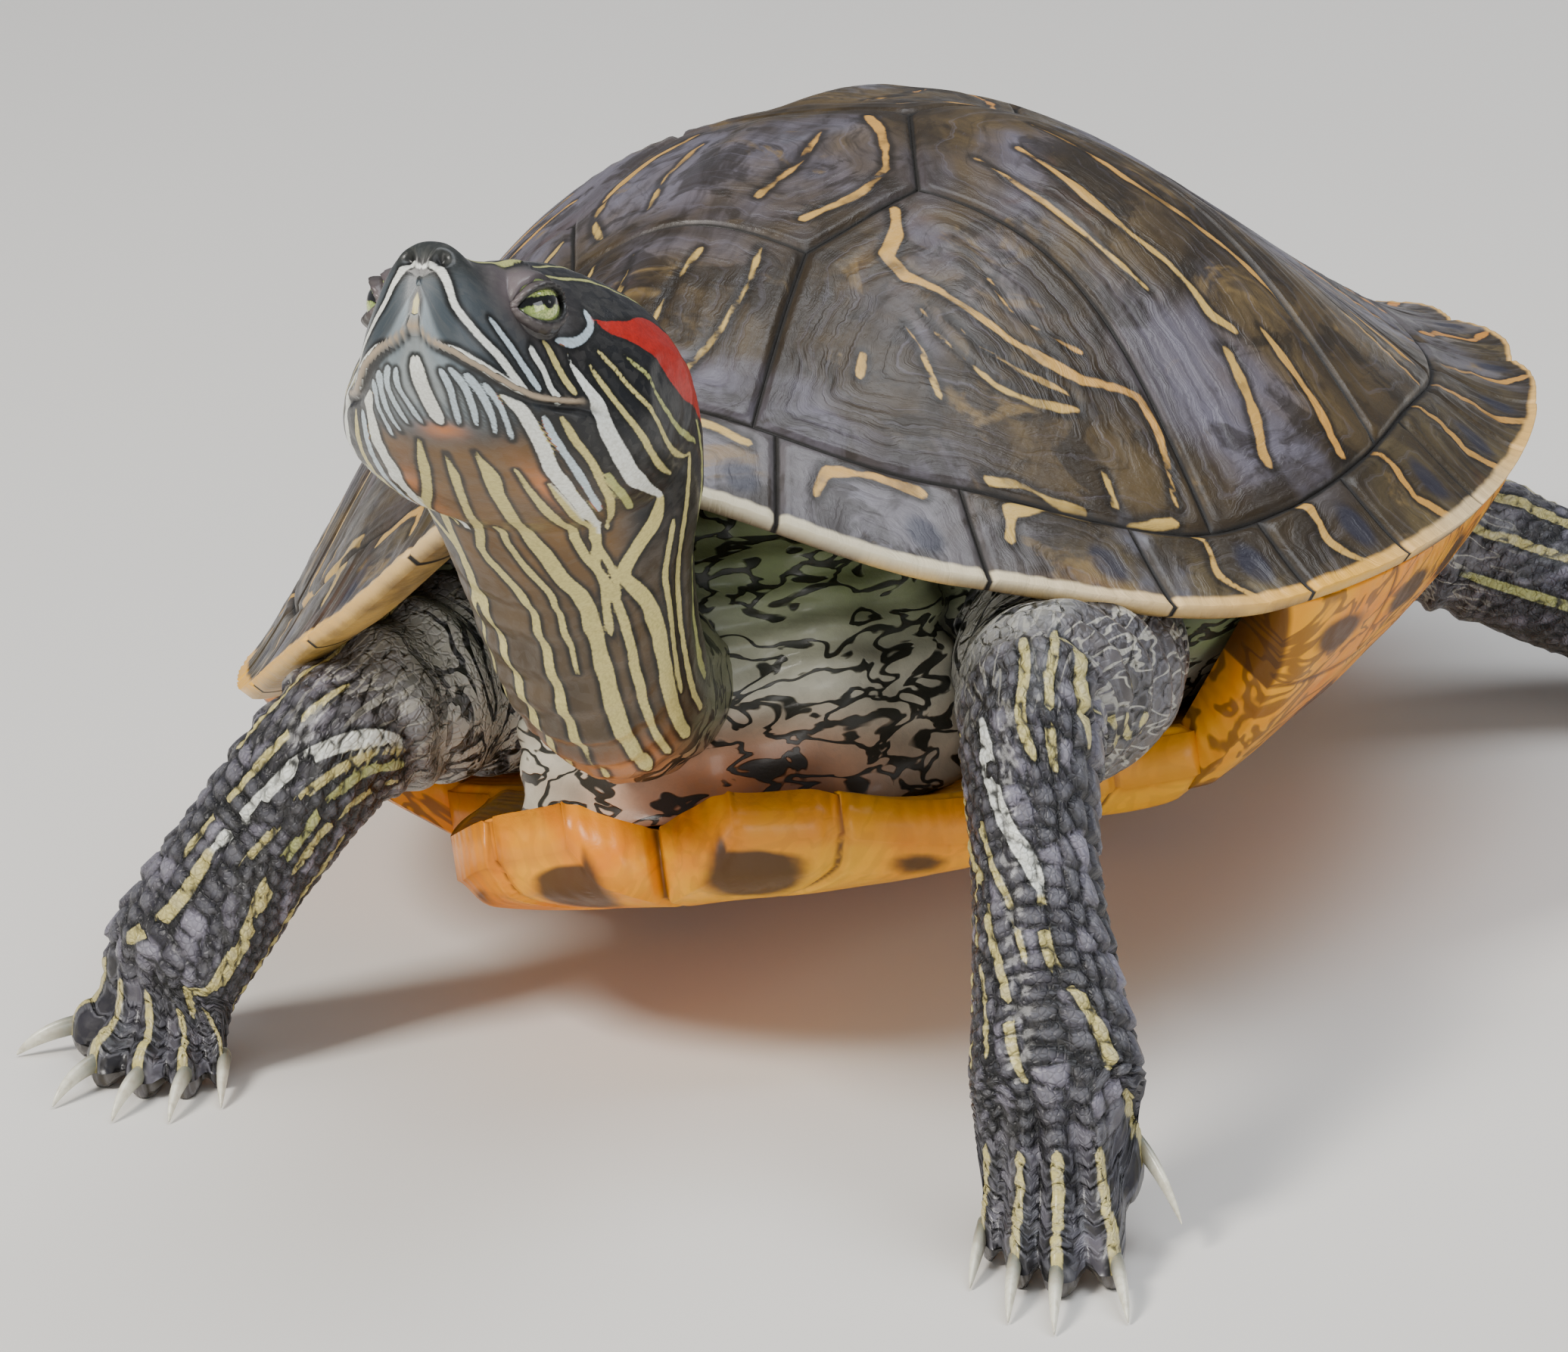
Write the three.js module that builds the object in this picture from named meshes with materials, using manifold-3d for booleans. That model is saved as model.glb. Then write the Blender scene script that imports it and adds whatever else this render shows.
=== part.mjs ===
// Red-eared slider turtle, life size, as a still museum model.
// The animal stands with its front raised on both forelegs and its shell resting low behind.
// Millimetres, +Z up. The turtle faces -Y and its left side is +X. The floor is z = 0.
import * as THREE from 'three';
import Module from 'manifold-3d';

const wasm = await Module();
wasm.setup();

// ---------------------------------------------------------------- driving dimensions
// The shell has a frame of its own: x to the left, y to the rear, z up from the plastron.
const SHELL_CENTRE_Y = -16.4;
const SHELL_FRONT = 98.6;
const SHELL_REAR = 122.7;
const SHELL_HALF_WIDTH = 89.5;
const SHELL_HEIGHT = 94.3;
const OUTLINE_POWER_FRONT = 1.9;
const OUTLINE_POWER_REAR = 2.3;
const PLATE_THICKNESS = 3.2;
const GAP = 0.4;

// Attitude of the shell on its legs: front up, left side up, plastron height at the centre.
const FRONT_UP = THREE.MathUtils.degToRad(8.2);
const LEFT_UP = THREE.MathUtils.degToRad(6.9);
const SHELL_LIFT = 12.7;
// Offset that puts the middle of the whole turtle over the origin.
const CENTRE_X = -1;
const CENTRE_Y = 18.6;

// Curves round the shell: a value at each bearing, 0 at the front and 180 at the rear.
const RIM_HEIGHT = { bearing: [0, 30, 60, 90, 130, 160, 180], value: [59.5, 39.5, 27, 29, 37.5, 45, 42] };
const DOME_FULLNESS = { bearing: [0, 60, 95, 140, 180], value: [2.05, 2.35, 2.5, 2.35, 2.9] };
const DOME_FLARE = { bearing: [0, 60, 95, 140, 180], value: [1.15, 1.3, 1.2, 2.0, 1.95] };
// Fractions of the way out to the rim: the inner seam of the marginals, the recessed wall of
// skin before and behind, and the edge of the belly.
const MARGINAL_RING = { bearing: [0, 30, 60, 95, 140, 180], value: [0.85, 0.865, 0.9, 0.885, 0.84, 0.83] };
const POCKET_WALL = { bearing: [0, 60, 95, 140, 180], value: [0.69, 0.75, 0.79, 0.75, 0.74] };
const BELLY_EDGE = { bearing: [0, 60, 95, 140, 180], value: [0.62, 0.46, 0.46, 0.48, 0.66] };

// Seams between the scutes of the carapace.
const MARGINAL_SEAMS = [3.2, 16, 32, 48, 63, 77, 94, 110, 123.5, 136.5, 149, 163.5, 180];
const PLEURAL_LANDINGS = [14, 57, 86, 117, 163.5];
const PLEURAL_BOWS = [0, 9, 4, -2, 0];
const VERTEBRAL_ROWS = [
  [{ ring: 14 }, { y: -64, half: 17.5 }],
  [{ y: -64, half: 17.5 }, { y: -42, half: 26 }, { y: -20, half: 17.5 }],
  [{ y: -20, half: 17.5 }, { y: 1, half: 26 }, { y: 22, half: 17 }],
  [{ y: 22, half: 17 }, { y: 42, half: 23 }, { y: 61, half: 12 }],
  [{ y: 61, half: 12 }, { ring: 163.5 }],
];

// Plastron: half widths along its length, in the shell's frame.
const PLASTRON_OUTLINE = {
  y: [-105, -101, -92, -78, -52, -46, 34, 40, 72, 88, 97],
  half: [12, 24, 34, 41, 47, 56, 48, 44, 41, 30, 15],
};
const PLASTRON_THICKNESS = 6.5;
const PLASTRON_SAG = 4;
const PLASTRON_SAG_Y = [-60, 45];
const PLASTRON_CURL = 7;
const PLASTRON_CURL_Y = [-78, -104];
const PLASTRON_DISH = 2.2;
const PLASTRON_RISE = 3;
const PLASTRON_RISE_Y = [70, 97];
const BRIDGE_BEARINGS = [63, 114];
const BRIDGE_Y = [-45, 33];
const BRIDGE_STEPS = 8;

// Whole model's frame from here on.
const HEAD_TIP = [2, -161, 135.5];
const HEAD_PITCH = THREE.MathUtils.degToRad(35.7);
const HEAD_SCALE = 1.04;
const EYE_RADIUS = 4.5;
const FLOOR = 0;

// ---------------------------------------------------------------- small helpers
const vec = (x, y, z) => new THREE.Vector3(x, y, z);

function lookup(xs, values, x) {
  if (x <= xs[0]) return values[0];
  for (let i = 1; i < xs.length; i += 1) {
    if (x <= xs[i]) {
      return THREE.MathUtils.mapLinear(x, xs[i - 1], xs[i], values[i - 1], values[i]);
    }
  }
  return values[values.length - 1];
}

// Value of a curve round the shell, eased between its keys.
function around(curve, bearing) {
  const b = Math.abs(bearing);
  const keys = curve.bearing;
  let i = 1;
  while (i < keys.length - 1 && b > keys[i]) i += 1;
  const u = THREE.MathUtils.clamp((b - keys[i - 1]) / (keys[i] - keys[i - 1]), 0, 1);
  const eased = u * u * (3 - 2 * u);
  return THREE.MathUtils.lerp(curve.value[i - 1], curve.value[i], 0.5 * (u + eased));
}

// A closed body from points and triangles, turned so that its faces point out.
function closedBody(points, triangles) {
  let volume = 0;
  const cross = new THREE.Vector3();
  for (const [a, b, c] of triangles) {
    volume += points[a].dot(cross.crossVectors(points[b], points[c]));
  }
  const index = triangles.flatMap(([a, b, c]) => (volume > 0 ? [a, b, c] : [a, c, b]));
  const geometry = new THREE.BufferGeometry();
  const numbers = points.flatMap((point) => [point.x, point.y, point.z]);
  geometry.setAttribute('position', new THREE.Float32BufferAttribute(numbers, 3));
  geometry.setIndex(index);
  return geometry;
}

// A plate with a top and a bottom sheet, each a grid over s and t from 0 to 1.
function plate(cellsS, cellsT, top, bottom) {
  const points = [];
  const triangles = [];
  const at = (sheet, i, j) => sheet * (cellsS + 1) * (cellsT + 1) + i * (cellsT + 1) + j;
  const quad = (a, b, c, d) => triangles.push([a, b, c], [a, c, d]);
  for (const surface of [top, bottom]) {
    for (let i = 0; i <= cellsS; i += 1) {
      for (let j = 0; j <= cellsT; j += 1) points.push(surface(i / cellsS, j / cellsT));
    }
  }
  for (let i = 0; i < cellsS; i += 1) {
    for (let j = 0; j < cellsT; j += 1) {
      quad(at(0, i, j), at(0, i + 1, j), at(0, i + 1, j + 1), at(0, i, j + 1));
      quad(at(1, i, j), at(1, i, j + 1), at(1, i + 1, j + 1), at(1, i + 1, j));
    }
  }
  for (let i = 0; i < cellsS; i += 1) {
    quad(at(0, i, 0), at(1, i, 0), at(1, i + 1, 0), at(0, i + 1, 0));
    quad(at(0, i, cellsT), at(0, i + 1, cellsT), at(1, i + 1, cellsT), at(1, i, cellsT));
  }
  for (let j = 0; j < cellsT; j += 1) {
    quad(at(0, 0, j), at(0, 0, j + 1), at(1, 0, j + 1), at(1, 0, j));
    quad(at(0, cellsS, j), at(1, cellsS, j), at(1, cellsS, j + 1), at(0, cellsS, j + 1));
  }
  return closedBody(points, triangles);
}

// A body through a row of closed rings, closed at each end by a fan to a middle point.
function ringBody(rings, first, last) {
  const sides = rings[0].length;
  const points = [...rings.flat(), first, last];
  const triangles = [];
  for (let r = 0; r < rings.length - 1; r += 1) {
    for (let k = 0; k < sides; k += 1) {
      const a = r * sides + k;
      const b = r * sides + ((k + 1) % sides);
      triangles.push([a, b, b + sides], [a, b + sides, a + sides]);
    }
  }
  const end = (rings.length - 1) * sides;
  for (let k = 0; k < sides; k += 1) {
    const next = (k + 1) % sides;
    triangles.push([next, k, points.length - 2], [end + k, end + next, points.length - 1]);
  }
  return closedBody(points, triangles);
}

function toSolid(geometry) {
  return new wasm.Manifold(new wasm.Mesh({
    numProp: 3,
    vertProperties: new Float32Array(geometry.getAttribute('position').array),
    triVerts: new Uint32Array(geometry.getIndex().array),
  }));
}

function toGeometry(solid) {
  const mesh = solid.getMesh();
  const geometry = new THREE.BufferGeometry();
  geometry.setAttribute('position', new THREE.BufferAttribute(mesh.vertProperties, 3));
  geometry.setIndex(new THREE.BufferAttribute(mesh.triVerts, 1));
  return geometry;
}

const cut = (geometry, tool) => toGeometry(toSolid(geometry).subtract(toSolid(tool)));

function join(geometries) {
  let solid = toSolid(geometries[0]);
  for (const geometry of geometries.slice(1)) solid = solid.add(toSolid(geometry));
  return toGeometry(solid);
}

// ---------------------------------------------------------------- shell surface
function outlineRadius(bearing) {
  const angle = THREE.MathUtils.degToRad(bearing);
  const front = Math.cos(angle) > 0;
  const power = front ? OUTLINE_POWER_FRONT : OUTLINE_POWER_REAR;
  const length = front ? SHELL_FRONT : SHELL_REAR;
  const across = (Math.abs(Math.sin(angle)) / SHELL_HALF_WIDTH) ** power;
  const along = (Math.abs(Math.cos(angle)) / length) ** power;
  return (across + along) ** (-1 / power);
}

// Plan position at a bearing, a fraction of the way out to the rim.
function planAt(bearing, fraction) {
  const angle = THREE.MathUtils.degToRad(bearing);
  const radius = fraction * outlineRadius(bearing);
  return [radius * Math.sin(angle), SHELL_CENTRE_Y - radius * Math.cos(angle)];
}

function domeHeight(x, y) {
  const bearing = THREE.MathUtils.radToDeg(Math.atan2(x, SHELL_CENTRE_Y - y));
  const fraction = Math.min(1, Math.hypot(x, y - SHELL_CENTRE_Y) / outlineRadius(bearing));
  const rise = (1 - fraction ** around(DOME_FULLNESS, bearing)) ** around(DOME_FLARE, bearing);
  const rim = around(RIM_HEIGHT, bearing);
  return rim + (SHELL_HEIGHT - rim) * rise;
}

const NORMAL_STEP = 1.5;
function domeNormal(x, y) {
  const [cx, cy] = [x * 0.97, SHELL_CENTRE_Y + (y - SHELL_CENTRE_Y) * 0.97];
  const slopeX = (domeHeight(cx + NORMAL_STEP, cy) - domeHeight(cx - NORMAL_STEP, cy)) / (2 * NORMAL_STEP);
  const slopeY = (domeHeight(cx, cy + NORMAL_STEP) - domeHeight(cx, cy - NORMAL_STEP)) / (2 * NORMAL_STEP);
  return vec(-slopeX, -slopeY, 1).normalize();
}

// A point a given depth under the carapace's outer surface.
function underDome([x, y], depth) {
  return vec(x, y, domeHeight(x, y)).addScaledVector(domeNormal(x, y), -depth);
}

// ---------------------------------------------------------------- carapace scutes
const ringPlan = (bearing) => planAt(bearing, around(MARGINAL_RING, bearing));

function mixPlan(a, b, u) {
  return [THREE.MathUtils.lerp(a[0], b[0], u), THREE.MathUtils.lerp(a[1], b[1], u)];
}

const planDistance = (a, b) => Math.hypot(a[0] - b[0], a[1] - b[1]);

// A scute over a plan patch, drawn in by half a gap on every side.
function scute(cellsS, cellsT, plan) {
  const trimS = GAP / 2 / planDistance(plan(0, 0.5), plan(1, 0.5));
  const trimT = GAP / 2 / planDistance(plan(0.5, 0), plan(0.5, 1));
  const inner = (s, t) => plan(trimS + s * (1 - 2 * trimS), trimT + t * (1 - 2 * trimT));
  const sheet = (depth) => (s, t) => underDome(inner(s, t), depth);
  return plate(cellsS, cellsT, sheet(0), sheet(PLATE_THICKNESS));
}

// A cross line of the vertebral row, from the right edge at s = 0 to the left at s = 1.
function vertebralLine(line, s) {
  if (line.ring === undefined) return [(2 * s - 1) * line.half, line.y];
  const rear = line.ring > 90;
  const spread = (2 * s - 1) * (rear ? 180 - line.ring : line.ring);
  return ringPlan(rear ? 180 - spread : spread);
}

function vertebral(lines) {
  const spans = lines.length - 1;
  const plan = (s, t) => {
    const i = Math.min(spans - 1, Math.floor(t * spans));
    return mixPlan(vertebralLine(lines[i], s), vertebralLine(lines[i + 1], s), t * spans - i);
  };
  return scute(5, 4, plan);
}

// Inner edge of a pleural: down the side of one vertebral and on to the next corner.
function pleuralInner(i, t) {
  const ends = [ringPlan(PLEURAL_LANDINGS[0]), [26, -42], [26, 1], [23, 42], ringPlan(PLEURAL_LANDINGS[4])];
  const middles = [[17.5, -64], [17.5, -20], [17, 22], [12, 61]];
  return t < 0.5 ? mixPlan(ends[i], middles[i], 2 * t) : mixPlan(middles[i], ends[i + 1], 2 * t - 1);
}

function pleural(i, side) {
  const plan = (s, t) => {
    const outer = ringPlan(THREE.MathUtils.lerp(PLEURAL_LANDINGS[i], PLEURAL_LANDINGS[i + 1], t));
    const [x, y] = mixPlan(pleuralInner(i, t), outer, s);
    const bow = THREE.MathUtils.lerp(PLEURAL_BOWS[i], PLEURAL_BOWS[i + 1], t);
    return [side * x, y + bow * Math.sin(Math.PI * s)];
  };
  return scute(5, 6, plan);
}

// Depth of a marginal's underside, across its width from the inner seam to the rim.
const MARGINAL_EDGE = 2.2;
const MARGINAL_SWELL = 3.6;
function marginalDepth(t) {
  return THREE.MathUtils.lerp(PLATE_THICKNESS, MARGINAL_EDGE, t) + MARGINAL_SWELL * Math.sin(Math.PI * t);
}

function marginalPlan(bearing, t) {
  return planAt(bearing, THREE.MathUtils.lerp(around(MARGINAL_RING, bearing), 1, t));
}

function marginal(from, to) {
  const middle = (from + to) / 2;
  const degrees = THREE.MathUtils.radToDeg(GAP / 2 / outlineRadius(middle)) * Math.sign(to - from);
  const trim = GAP / 2 / planDistance(marginalPlan(middle, 0), marginalPlan(middle, 1));
  const bearingAt = (s) => THREE.MathUtils.lerp(from + degrees, to - degrees, s);
  const across = (t) => trim + t * (1 - trim);
  const top = (s, t) => underDome(marginalPlan(bearingAt(s), across(t)), 0);
  const bottom = (s, t) => underDome(marginalPlan(bearingAt(s), across(t)), marginalDepth(across(t)));
  return plate(3, 3, top, bottom);
}

// ---------------------------------------------------------------- plastron and bridges
const shellPlace = new THREE.Matrix4()
  .makeRotationFromEuler(new THREE.Euler(-FRONT_UP, -LEFT_UP, 0, 'XYZ'))
  .setPosition(0, 0, SHELL_LIFT);
const UP_IN_SHELL = vec(0, 0, 1).transformDirection(shellPlace.clone().invert());

// Raises a point of the shell's frame that would lie below the floor on to the floor.
function onFloor(point) {
  const height = point.dot(UP_IN_SHELL) + SHELL_LIFT;
  return height < 0 ? point.addScaledVector(UP_IN_SHELL, -height) : point;
}

// Height of the plastron's upper face: curled up in front, rising at the sides and the rear.
function plastronTop(x, y) {
  const half = lookup(PLASTRON_OUTLINE.y, PLASTRON_OUTLINE.half, y);
  const edge = Math.abs(x) / half;
  const curl = Math.max(0, THREE.MathUtils.inverseLerp(...PLASTRON_CURL_Y, y));
  const rise = Math.max(0, THREE.MathUtils.inverseLerp(...PLASTRON_RISE_Y, y));
  const front = PLASTRON_CURL * curl ** 2 * (0.55 + 0.45 * edge);
  return PLASTRON_THICKNESS + front + PLASTRON_DISH * edge ** 4 + PLASTRON_RISE * rise ** 2;
}

// The underside lies a plate's thickness lower, and more towards the front.
function plastronUnderside(x, y) {
  const sag = PLASTRON_SAG * (1 - THREE.MathUtils.smoothstep(y, ...PLASTRON_SAG_Y));
  return plastronTop(x, y) - PLASTRON_THICKNESS - sag;
}

function plastron() {
  const yAt = (t) => {
    const stations = PLASTRON_OUTLINE.y;
    const k = t * (stations.length - 1);
    const i = Math.min(stations.length - 2, Math.floor(k));
    return THREE.MathUtils.lerp(stations[i], stations[i + 1], k - i);
  };
  const sheet = (height) => (s, t) => {
    const y = yAt(t);
    const x = (2 * s - 1) * lookup(PLASTRON_OUTLINE.y, PLASTRON_OUTLINE.half, y);
    return onFloor(vec(x, y, height(x, y)));
  };
  return plate(6, 15, sheet(plastronTop), sheet(plastronUnderside));
}

function bridge(side) {
  const bearingAt = (s) => THREE.MathUtils.lerp(BRIDGE_BEARINGS[0], BRIDGE_BEARINGS[1], s);
  const flip = (point) => vec(side * point.x, point.y, point.z);
  const underMarginal = (s, t) => {
    const bearing = bearingAt(s);
    const across = THREE.MathUtils.lerp(0.97, 0.42, t);
    return flip(underDome(marginalPlan(bearing, across), marginalDepth(across) + 2 * GAP));
  };
  const besidePlastron = (s, t) => {
    const y = THREE.MathUtils.lerp(BRIDGE_Y[0], BRIDGE_Y[1], s);
    const x = lookup(PLASTRON_OUTLINE.y, PLASTRON_OUTLINE.half, y) + GAP;
    return vec(side * x, y, THREE.MathUtils.lerp(plastronUnderside(x, y) + 0.6, plastronTop(x, y), t));
  };
  const surface = (s, t, u) => {
    const point = underMarginal(s, t).lerp(besidePlastron(s, t), u);
    point.x += side * 3 * Math.sin(Math.PI * u) * (1 - t);
    return point;
  };
  const outline = [[0, 0], [0.33, 0], [0.67, 0], [1, 0], [1, 0.5], [1, 1], [0, 1], [0, 0.67], [0, 0.33]];
  const rings = [];
  for (let i = 0; i <= BRIDGE_STEPS; i += 1) {
    rings.push(outline.map(([t, u]) => surface(i / BRIDGE_STEPS, t, u)));
  }
  return ringBody(rings, surface(0, 0.5, 0.5), surface(1, 0.5, 0.5));
}

// ---------------------------------------------------------------- trunk
const TRUNK_SIDES = 28;
const TRUNK_DEPTH = PLATE_THICKNESS + 1.1;
// The flesh inside the shell, with a recessed wall of skin before and behind.
// grow is how far the body is swollen, to make a cutter for what joins it.
function trunk(grow) {
  const bellyTop = (x, y) => plastronTop(x, y) + GAP;
  const wallPoint = (bearing, mix) => {
    const high = underDome(planAt(bearing, around(POCKET_WALL, bearing)), TRUNK_DEPTH);
    const low = planAt(bearing, around(BELLY_EDGE, bearing));
    const [x, y] = mixPlan([high.x, high.y], low, mix ** 1.3);
    return vec(x, y, THREE.MathUtils.lerp(high.z, bellyTop(low[0], low[1]), mix));
  };
  const ringAt = (make) => Array.from({ length: TRUNK_SIDES }, (_, k) => make((k / TRUNK_SIDES) * 360 - 180));
  const swell = (bearing, point, amount) => {
    const angle = THREE.MathUtils.degToRad(bearing);
    return point.add(vec(Math.sin(angle) * amount, -Math.cos(angle) * amount, 0));
  };
  const roof = [0.3, 0.6, 0.84].map((part) => ringAt((bearing) => {
    const plan = planAt(bearing, part * around(POCKET_WALL, bearing));
    return underDome(plan, TRUNK_DEPTH - grow);
  }));
  const wall = [0, 0.25, 0.5, 0.75, 0.93].map((mix) => ringAt((bearing) => (
    swell(bearing, wallPoint(bearing, mix), grow)
  )));
  const belly = [0.9, 0.45].map((part) => ringAt((bearing) => {
    const [x, y] = planAt(bearing, part * around(BELLY_EDGE, bearing));
    return vec(x, y, bellyTop(x, y) - grow);
  }));
  const crown = underDome([0, SHELL_CENTRE_Y], TRUNK_DEPTH - grow);
  const base = vec(0, SHELL_CENTRE_Y, bellyTop(0, SHELL_CENTRE_Y) - grow);
  return ringBody([...roof, ...wall, ...belly], crown, base);
}

const trunkCutter = trunk(GAP).applyMatrix4(shellPlace);

// ---------------------------------------------------------------- limbs, neck and tail
// A station of a limb: where its middle is, and its half width and half height there.
const station = (x, y, z, wide, high) => ({ at: vec(x, y, z), wide, high });

// Rings through a row of stations. The width is measured along levels[0] at the first station,
// turning evenly to levels[1] at the last.
function limbRings(stations, sides, steps, levels) {
  const curve = new THREE.CatmullRomCurve3(stations.map((one) => one.at));
  const spans = stations.length - 1;
  const total = spans * steps;
  const rings = [];
  const middles = [];
  for (let k = 0; k <= total; k += 1) {
    const u = k / total;
    const i = Math.min(spans - 1, Math.floor(u * spans));
    const middle = curve.getPoint(u);
    const along = curve.getTangent(u);
    const level = levels[0].clone().lerp(levels[1], u);
    const across = level.addScaledVector(along, -level.dot(along)).normalize();
    const up = vec(0, 0, 0).crossVectors(along, across);
    const mix = u * spans - i;
    const wide = THREE.MathUtils.lerp(stations[i].wide, stations[i + 1].wide, mix);
    const high = THREE.MathUtils.lerp(stations[i].high, stations[i + 1].high, mix);
    const ring = [];
    for (let n = 0; n < sides; n += 1) {
      const angle = (2 * Math.PI * n) / sides;
      const point = middle.clone().addScaledVector(across, wide * Math.cos(angle));
      point.addScaledVector(up, high * Math.sin(angle));
      point.z = Math.max(FLOOR, point.z);
      ring.push(point);
    }
    rings.push(ring);
    middles.push(middle);
  }
  return { rings, middles };
}

// One length of a limb, from ring a to ring b, drawn in by half a gap where it meets the next.
function limbLength({ rings, middles }, a, b, trimStart, trimEnd) {
  const part = rings.slice(a, b + 1).map((ring) => ring.map((point) => point.clone()));
  const heart = middles.slice(a, b + 1).map((point) => point.clone());
  const trim = (index, towards) => {
    const shift = heart[towards].clone().sub(heart[index]).setLength(GAP / 2);
    part[index].forEach((point) => point.add(shift));
    heart[index].add(shift);
  };
  if (trimStart) trim(0, 1);
  if (trimEnd) trim(part.length - 1, part.length - 2);
  return ringBody(part, heart[0], heart[heart.length - 1]);
}

// A toe with its claw, from the foot to the claw's tip.
function toe(root, knuckle, tip, radius) {
  const mid = (a, b, u) => a.clone().lerp(b, u);
  const clawRoot = mid(knuckle, tip, 0.12);
  const clawMiddle = mid(knuckle, tip, 0.55);
  clawMiddle.z += 1.2;
  const stations = [
    { at: root, wide: radius, high: radius },
    { at: knuckle, wide: radius * 0.85, high: radius * 0.85 },
    { at: clawRoot, wide: radius * 0.5, high: radius * 0.55 },
    { at: clawMiddle, wide: radius * 0.36, high: radius * 0.45 },
    { at: tip, wide: 0.3, high: 0.3 },
  ];
  const across = vec(0, 0, 1).cross(tip.clone().sub(root)).normalize();
  return limbLength(limbRings(stations, 5, 1, [across, across]), 0, 4, false, false);
}

function foot(body, toes, radius) {
  return join([body, ...toes.map(({ root, knuckle, tip }) => toe(root, knuckle, tip, radius))]);
}

// Toes fanned over a foot: each tip is given, and the roots lie across the ankle's far side.
function fan(rootCentre, rootSpread, tips, reach, knuckleHeight) {
  return tips.map((tip, i) => {
    const offset = i / (tips.length - 1) - 0.5;
    const root = rootCentre.clone().addScaledVector(rootSpread, offset);
    const knuckle = root.clone().lerp(tip, reach);
    knuckle.z = knuckleHeight;
    return { root, knuckle, tip };
  });
}

const CLAW_TIP_HEIGHT = 0.35;
const tipAt = (x, y) => vec(x, y, CLAW_TIP_HEIGHT);

const LIMBS = {
  left_fore: {
    names: ['upper_arm_left', 'forearm_left', 'forefoot_left'],
    levels: [vec(1, -0.1, 0.1), vec(0.96, 0.28, 0)],
    stations: [
      station(38, -46, 46, 14, 13), station(50, -77, 51.5, 12.5, 11.5), station(55, -105, 56, 8.8, 10),
      station(59.5, -120, 42, 7.8, 8.5), station(66.5, -137, 21.5, 11, 7),
      station(71.5, -146.5, 8.2, 12.3, 5.4), station(74.5, -153, 2.6, 11.5, 4),
      station(76, -157.5, 1.9, 9.5, 3),
    ],
    joints: [2, 4],
    toes: {
      centre: vec(72, -149.5, 5.5), spread: vec(15, 4, 0), reach: 0.45, knuckle: 3.2,
      tips: [tipAt(61.5, -159), tipAt(70, -168.5), tipAt(77, -171), tipAt(85, -166), vec(84, -140, 3.5)],
    },
  },
  right_fore: {
    names: ['upper_arm_right', 'forearm_right', 'forefoot_right'],
    levels: [vec(-0.7, 0.3, 0.65), vec(-0.92, 0.38, 0)],
    stations: [
      station(-35, -44, 40, 14, 12.5), station(-45, -70, 45, 12, 12), station(-52.5, -87.5, 42, 9.8, 10),
      station(-62.5, -94, 30, 10, 8.5), station(-72.5, -100, 16.5, 12.2, 6.8),
      station(-76.5, -104.5, 7.4, 13.3, 5.4), station(-77.5, -109, 2.6, 12, 4),
      station(-78, -113, 1.9, 10.5, 3),
    ],
    joints: [2, 4],
    toes: {
      centre: vec(-77, -105.5, 5.5), spread: vec(-21, 9, 0), reach: 0.45, knuckle: 3.2,
      tips: [tipAt(-59.5, -117), tipAt(-65, -123), tipAt(-74, -124.5), tipAt(-85, -119.5), tipAt(-100, -101)],
    },
  },
  left_hind: {
    names: ['thigh_left', 'shin_left', 'hindfoot_left'],
    levels: [vec(0.2, 1, 0), vec(-0.62, 0.78, 0)],
    stations: [
      station(38, 48, 31, 15, 8.5), station(57, 59, 27, 14.5, 8.5), station(78, 64, 17, 13, 9),
      station(95, 64, 14, 11.5, 10), station(105, 78, 11, 11, 8.5), station(113, 91, 6, 14.5, 5.8),
      station(121, 100, 2.6, 15, 3.6), station(126, 105, 1.9, 13.5, 3),
    ],
    joints: [3, 4],
    toes: {
      centre: vec(116, 96, 4.6), spread: vec(-15, 19, 0), reach: 0.55, knuckle: 2.8,
      tips: [tipAt(137, 90), tipAt(140, 100), tipAt(137, 109), tipAt(129, 116), tipAt(119, 119)],
    },
  },
  right_hind: {
    names: ['thigh_right', 'shin_right', 'hindfoot_right'],
    levels: [vec(-0.2, 1, 0), vec(0.62, 0.78, 0)],
    stations: [
      station(-38, 50, 22, 14, 8), station(-57, 60, 17, 13.5, 8), station(-78, 64, 12, 12.5, 8),
      station(-94, 65, 11, 11, 8.8), station(-104, 78, 9.2, 11, 8), station(-111, 91, 5.6, 14.5, 5.4),
      station(-119, 100, 2.6, 15, 3.5), station(-124, 105, 1.9, 13.5, 3),
    ],
    joints: [3, 4],
    toes: {
      centre: vec(-114, 96, 4.4), spread: vec(15, 19, 0), reach: 0.55, knuckle: 2.8,
      tips: [tipAt(-135, 90), tipAt(-138, 100), tipAt(-135, 109), tipAt(-127, 116), tipAt(-117, 119)],
    },
  },
};
const LIMB_SIDES = 12;
const LIMB_STEPS = 2;
const TOE_RADIUS = 3.1;

function limbPieces(limb) {
  const rings = limbRings(limb.stations, LIMB_SIDES, LIMB_STEPS, limb.levels);
  const [first, second] = limb.joints.map((joint) => joint * LIMB_STEPS);
  const last = rings.rings.length - 1;
  const { centre, spread, tips, reach, knuckle } = limb.toes;
  const body = limbLength(rings, second, last, true, false);
  return [
    cut(limbLength(rings, 0, first, false, true), trunkCutter),
    limbLength(rings, first, second, true, true),
    foot(body, fan(centre, spread, tips, reach, knuckle), TOE_RADIUS),
  ];
}

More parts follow.
